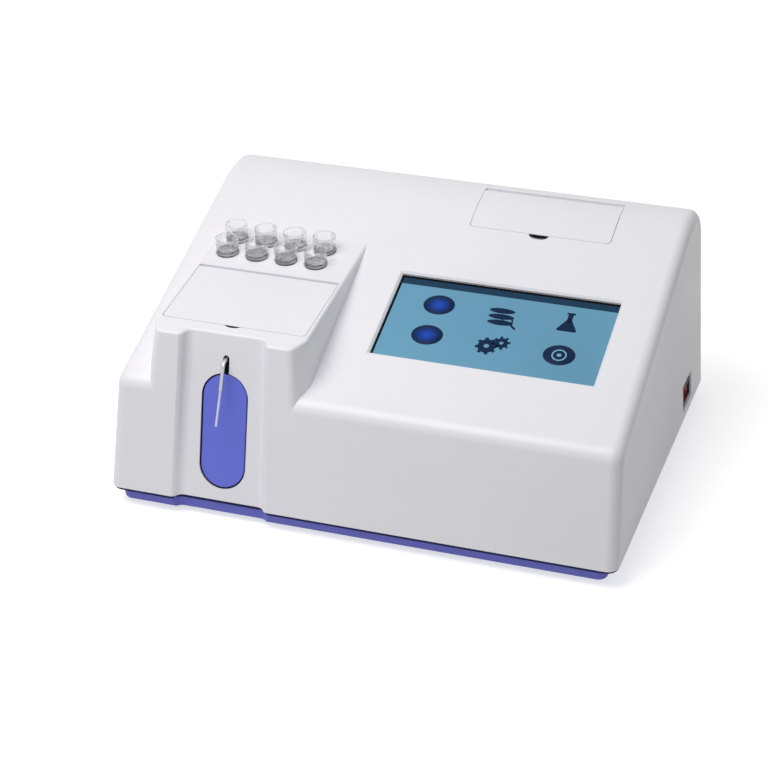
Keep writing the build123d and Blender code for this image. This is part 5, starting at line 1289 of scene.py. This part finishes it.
@dataclass
class Printer(Assembly):
    """Strip printer under its lid."""

    scoop: Point = (71.7, 64.25, 148.49)
    scoop_size: tuple[float, float, float] = (7.1, 2.3, 0.3)
    shade_shift: tuple[float, float] = (-0.2, -0.6)
    lid_half_width: float = 50.6
    lid_gap: float = 0.35
    gap_shade_size: tuple[float, float] = (24.0, 0.3)
    gap_shade_start: float = 3.0
    gap_shade_sink: float = 0.3

    def build(self) -> None:
        """Dress the printer and paint shade in its finger scoop and right seam."""
        self.scoop_shade()
        self.lid_gap_shade()
        self.dress(Finish.case_white, "printer_lid")
        self.dress(Finish.bay_grey, "printer_bay")
        self.dress(Finish.paper_white, "paper_roll")
        self.dress(Finish.head_ceramic, "print_head")
        self.dress(Finish.platen_rubber, "platen_roller")
        self.dress(Finish.gear_white, "printer_pinion")
        self.dress(Finish.motor_steel, "printer_motor")

    def scoop_shade(self) -> None:
        """A dark plate of painted shade on the floor of the finger scoop in front of the lid."""
        x, y, z = self.scoop
        place = (x, y + self.shade_shift[0], z + self.shade_shift[1])
        scoop_shade_plate = Shop.half_oval("printer_scoop_liner", *self.scoop_size, place, DECK_SLOPE)
        self.add(scoop_shade_plate, Finish.slot_dark, "housing", "switch_black")

    def lid_gap_shade(self) -> None:
        """A dark strip of painted shade low in the seam to the right of the lid."""
        x, y, z = self.scoop
        length, thick = self.gap_shade_size
        angle = radians(DECK_SLOPE)
        along = self.gap_shade_start + length / 2
        place = (
            x + self.lid_half_width + self.lid_gap / 2,
            y + along * cos(angle) + self.gap_shade_sink * sin(angle),
            z + along * sin(angle) - self.gap_shade_sink * cos(angle),
        )
        size = (self.lid_gap - 0.06, length, thick)
        gap_shade = Shop.slab("printer_lid_seal", size, place, 0.05, DECK_SLOPE)
        self.add(gap_shade, Finish.slot_dark, "housing", "switch_black")


@dataclass
class Rear(Assembly):
    """Rear panel with its fan, sockets and switch."""

    def build(self) -> None:
        """Dress the rear."""
        self.dress(Finish.panel_grey, "rear_panel")
        self.dress(Finish.fan_black, "fan_frame", "fan_rotor")
        self.dress(Finish.guard_wire, "fan_guard")
        self.dress(Finish.inlet_black, "mains_inlet", "fuse_drawer")
        self.dress(Finish.blade_brass, "inlet_blades")
        self.dress(Finish.port_metal, "serial_port", "usb_port")
        self.dress(Finish.switch_black, "power_switch")
        self.dress(Finish.rocker_red, "power_rocker")


@dataclass
class Inside(Assembly):
    """Optics, boards and power supply inside the case."""

    def build(self) -> None:
        """Dress the inside."""
        self.dress(Finish.bench_aluminium, "optical_bench")
        self.dress(Finish.lamp_aluminium, "lamp_housing")
        self.dress(Finish.lamp_glass, "halogen_lamp")
        self.dress(Finish.lens_glass, "condenser_lens")
        self.dress(Finish.wheel_black, "filter_wheel")
        self.dress(Finish.filter_glass, "filter_glasses")
        self.dress(Finish.motor_steel, "wheel_motor")
        self.dress(Finish.board_green, "main_board")
        self.dress(Finish.supply_steel, "power_supply")


def seen_rays(tree: bpy.types.NodeTree) -> bpy.types.NodeSocket:
    """Whether a ray is the camera's own, a reflection or one that went through glass.

    Args:
        tree: the node tree that asks.

    Returns:
        1 for such a ray and 0 for all others.
    """
    path = tree.nodes.new("ShaderNodeLightPath")
    total = path.outputs["Is Camera Ray"]
    for name in ("Is Glossy Ray", "Is Transmission Ray"):
        either = tree.nodes.new("ShaderNodeMath")
        either.operation = "MAXIMUM"
        tree.links.new(total, either.inputs[0])
        tree.links.new(path.outputs[name], either.inputs[1])
        total = either.outputs[0]
    return total


@dataclass
class Studio:
    """Pale floor, one soft lamp and the camera; the lamp's place and the glow are in metres."""

    eye: Point = (444.02, -1290.98, 866.79)
    right: Point = (0.9452, 0.3254, -0.0262)
    up: Point = (-0.1455, 0.4917, 0.8585)
    lens: float = 105.85
    lamp_place: Point = (-0.38, -0.45, 1.30)
    lamp_aim: Point = (0.0, -0.02, 0.08)
    lamp_size: float = 0.9
    lamp_power: float = 13.2
    floor_tone: Colour = (0.66, 0.66, 0.67)
    floor_glow: tuple[float, float] = (0.66, 0.82)
    glow_reach: tuple[float, float] = (0.5, 2.0)
    sky_level: float = 0.31
    seen_level: float = 1.0

    def build(self) -> None:
        """Set up the studio."""
        self.floor()
        self.world()
        self.lamp()
        self.camera()
        bpy.context.scene.view_settings.view_transform = "Standard"

    def lamp(self) -> None:
        """One soft square lamp, high up in front on the left."""
        light = bpy.data.lights.new("key_lamp", "AREA")
        light.size = self.lamp_size
        light.energy = self.lamp_power
        lamp = bpy.data.objects.new("key_lamp", light)
        lamp.location = self.lamp_place
        aim = Vector(self.lamp_aim) - Vector(self.lamp_place)
        lamp.rotation_euler = aim.to_track_quat("-Z", "Y").to_euler()
        bpy.context.scene.collection.objects.link(lamp)

    def floor(self) -> None:
        """A pale floor that keeps the shadow and looks white round it."""
        bpy.ops.object.select_all(action="DESELECT")
        bpy.ops.mesh.primitive_plane_add(size=12.0, location=(0, 0, 0))
        floor = bpy.context.active_object
        floor.name = "studio_floor"
        graph = Graph("studio_floor")
        graph.set(Base_Color=self.floor_tone, Roughness=0.9, Specular_IOR_Level=0.1)
        away = graph.tree.nodes.new("ShaderNodeVectorMath")
        away.operation = "LENGTH"
        graph.link(graph.place, away.inputs[0])
        glow = graph.tree.nodes.new("ShaderNodeEmission")
        rise = graph.span(away.outputs["Value"], *self.floor_glow, *self.glow_reach)
        graph.link(rise, glow.inputs["Strength"])
        blank = graph.tree.nodes.new("ShaderNodeEmission")
        blank.inputs["Strength"].default_value = 0.0
        chooser = graph.tree.nodes.new("ShaderNodeMixShader")
        both = graph.tree.nodes.new("ShaderNodeAddShader")
        for source, target in (
            (seen_rays(graph.tree), chooser.inputs[0]), (blank.outputs[0], chooser.inputs[1]),
            (glow.outputs[0], chooser.inputs[2]), (graph.shader.outputs[0], both.inputs[0]),
            (chooser.outputs[0], both.inputs[1]), (both.outputs[0], graph.output.inputs["Surface"]),
        ):
            graph.link(source, target)
        floor.data.materials.append(graph.material)

    def world(self) -> None:
        """Soft even light all round, white where the camera or a reflection sees it."""
        world = bpy.data.worlds.new("studio")
        bpy.context.scene.world = world
        world.use_nodes = True
        tree = world.node_tree
        ground = tree.nodes["Background"]
        ground.inputs["Color"].default_value = (1.0, 1.0, 1.0, 1.0)
        level = tree.nodes.new("ShaderNodeMapRange")
        level.inputs["To Min"].default_value = self.sky_level
        level.inputs["To Max"].default_value = self.seen_level
        tree.links.new(seen_rays(tree), level.inputs["Value"])
        tree.links.new(level.outputs[0], ground.inputs["Strength"])

    def camera(self) -> None:
        """The camera where the photograph was taken from."""
        right = Vector(self.right).normalized()
        back = right.cross(Vector(self.up)).normalized()
        turn = Matrix((right, back.cross(right), back)).transposed()
        lens = bpy.data.cameras.new("camera")
        lens.lens = self.lens
        lens.sensor_width = 36.0
        lens.clip_end = 50.0
        eye = bpy.data.objects.new("camera", lens)
        eye.matrix_world = Matrix.Translation([value * MM for value in self.eye]) @ turn.to_4x4()
        bpy.context.scene.collection.objects.link(eye)
        bpy.context.scene.camera = eye


def main() -> None:
    """Build every sub-assembly in order."""
    logging.basicConfig(level=logging.INFO, format="%(name)s: %(message)s")
    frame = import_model()
    nodes = frame["nodes"]
    for assembly in (
        Housing(nodes), Display(nodes), SampleStation(nodes), Printer(nodes), Rear(nodes),
        Inside(nodes),
    ):
        assembly.build()
        log.info("%s: %d new pieces", type(assembly).__name__, len(assembly.made))
    Studio().build()


if __name__ == "__main__":
    main()
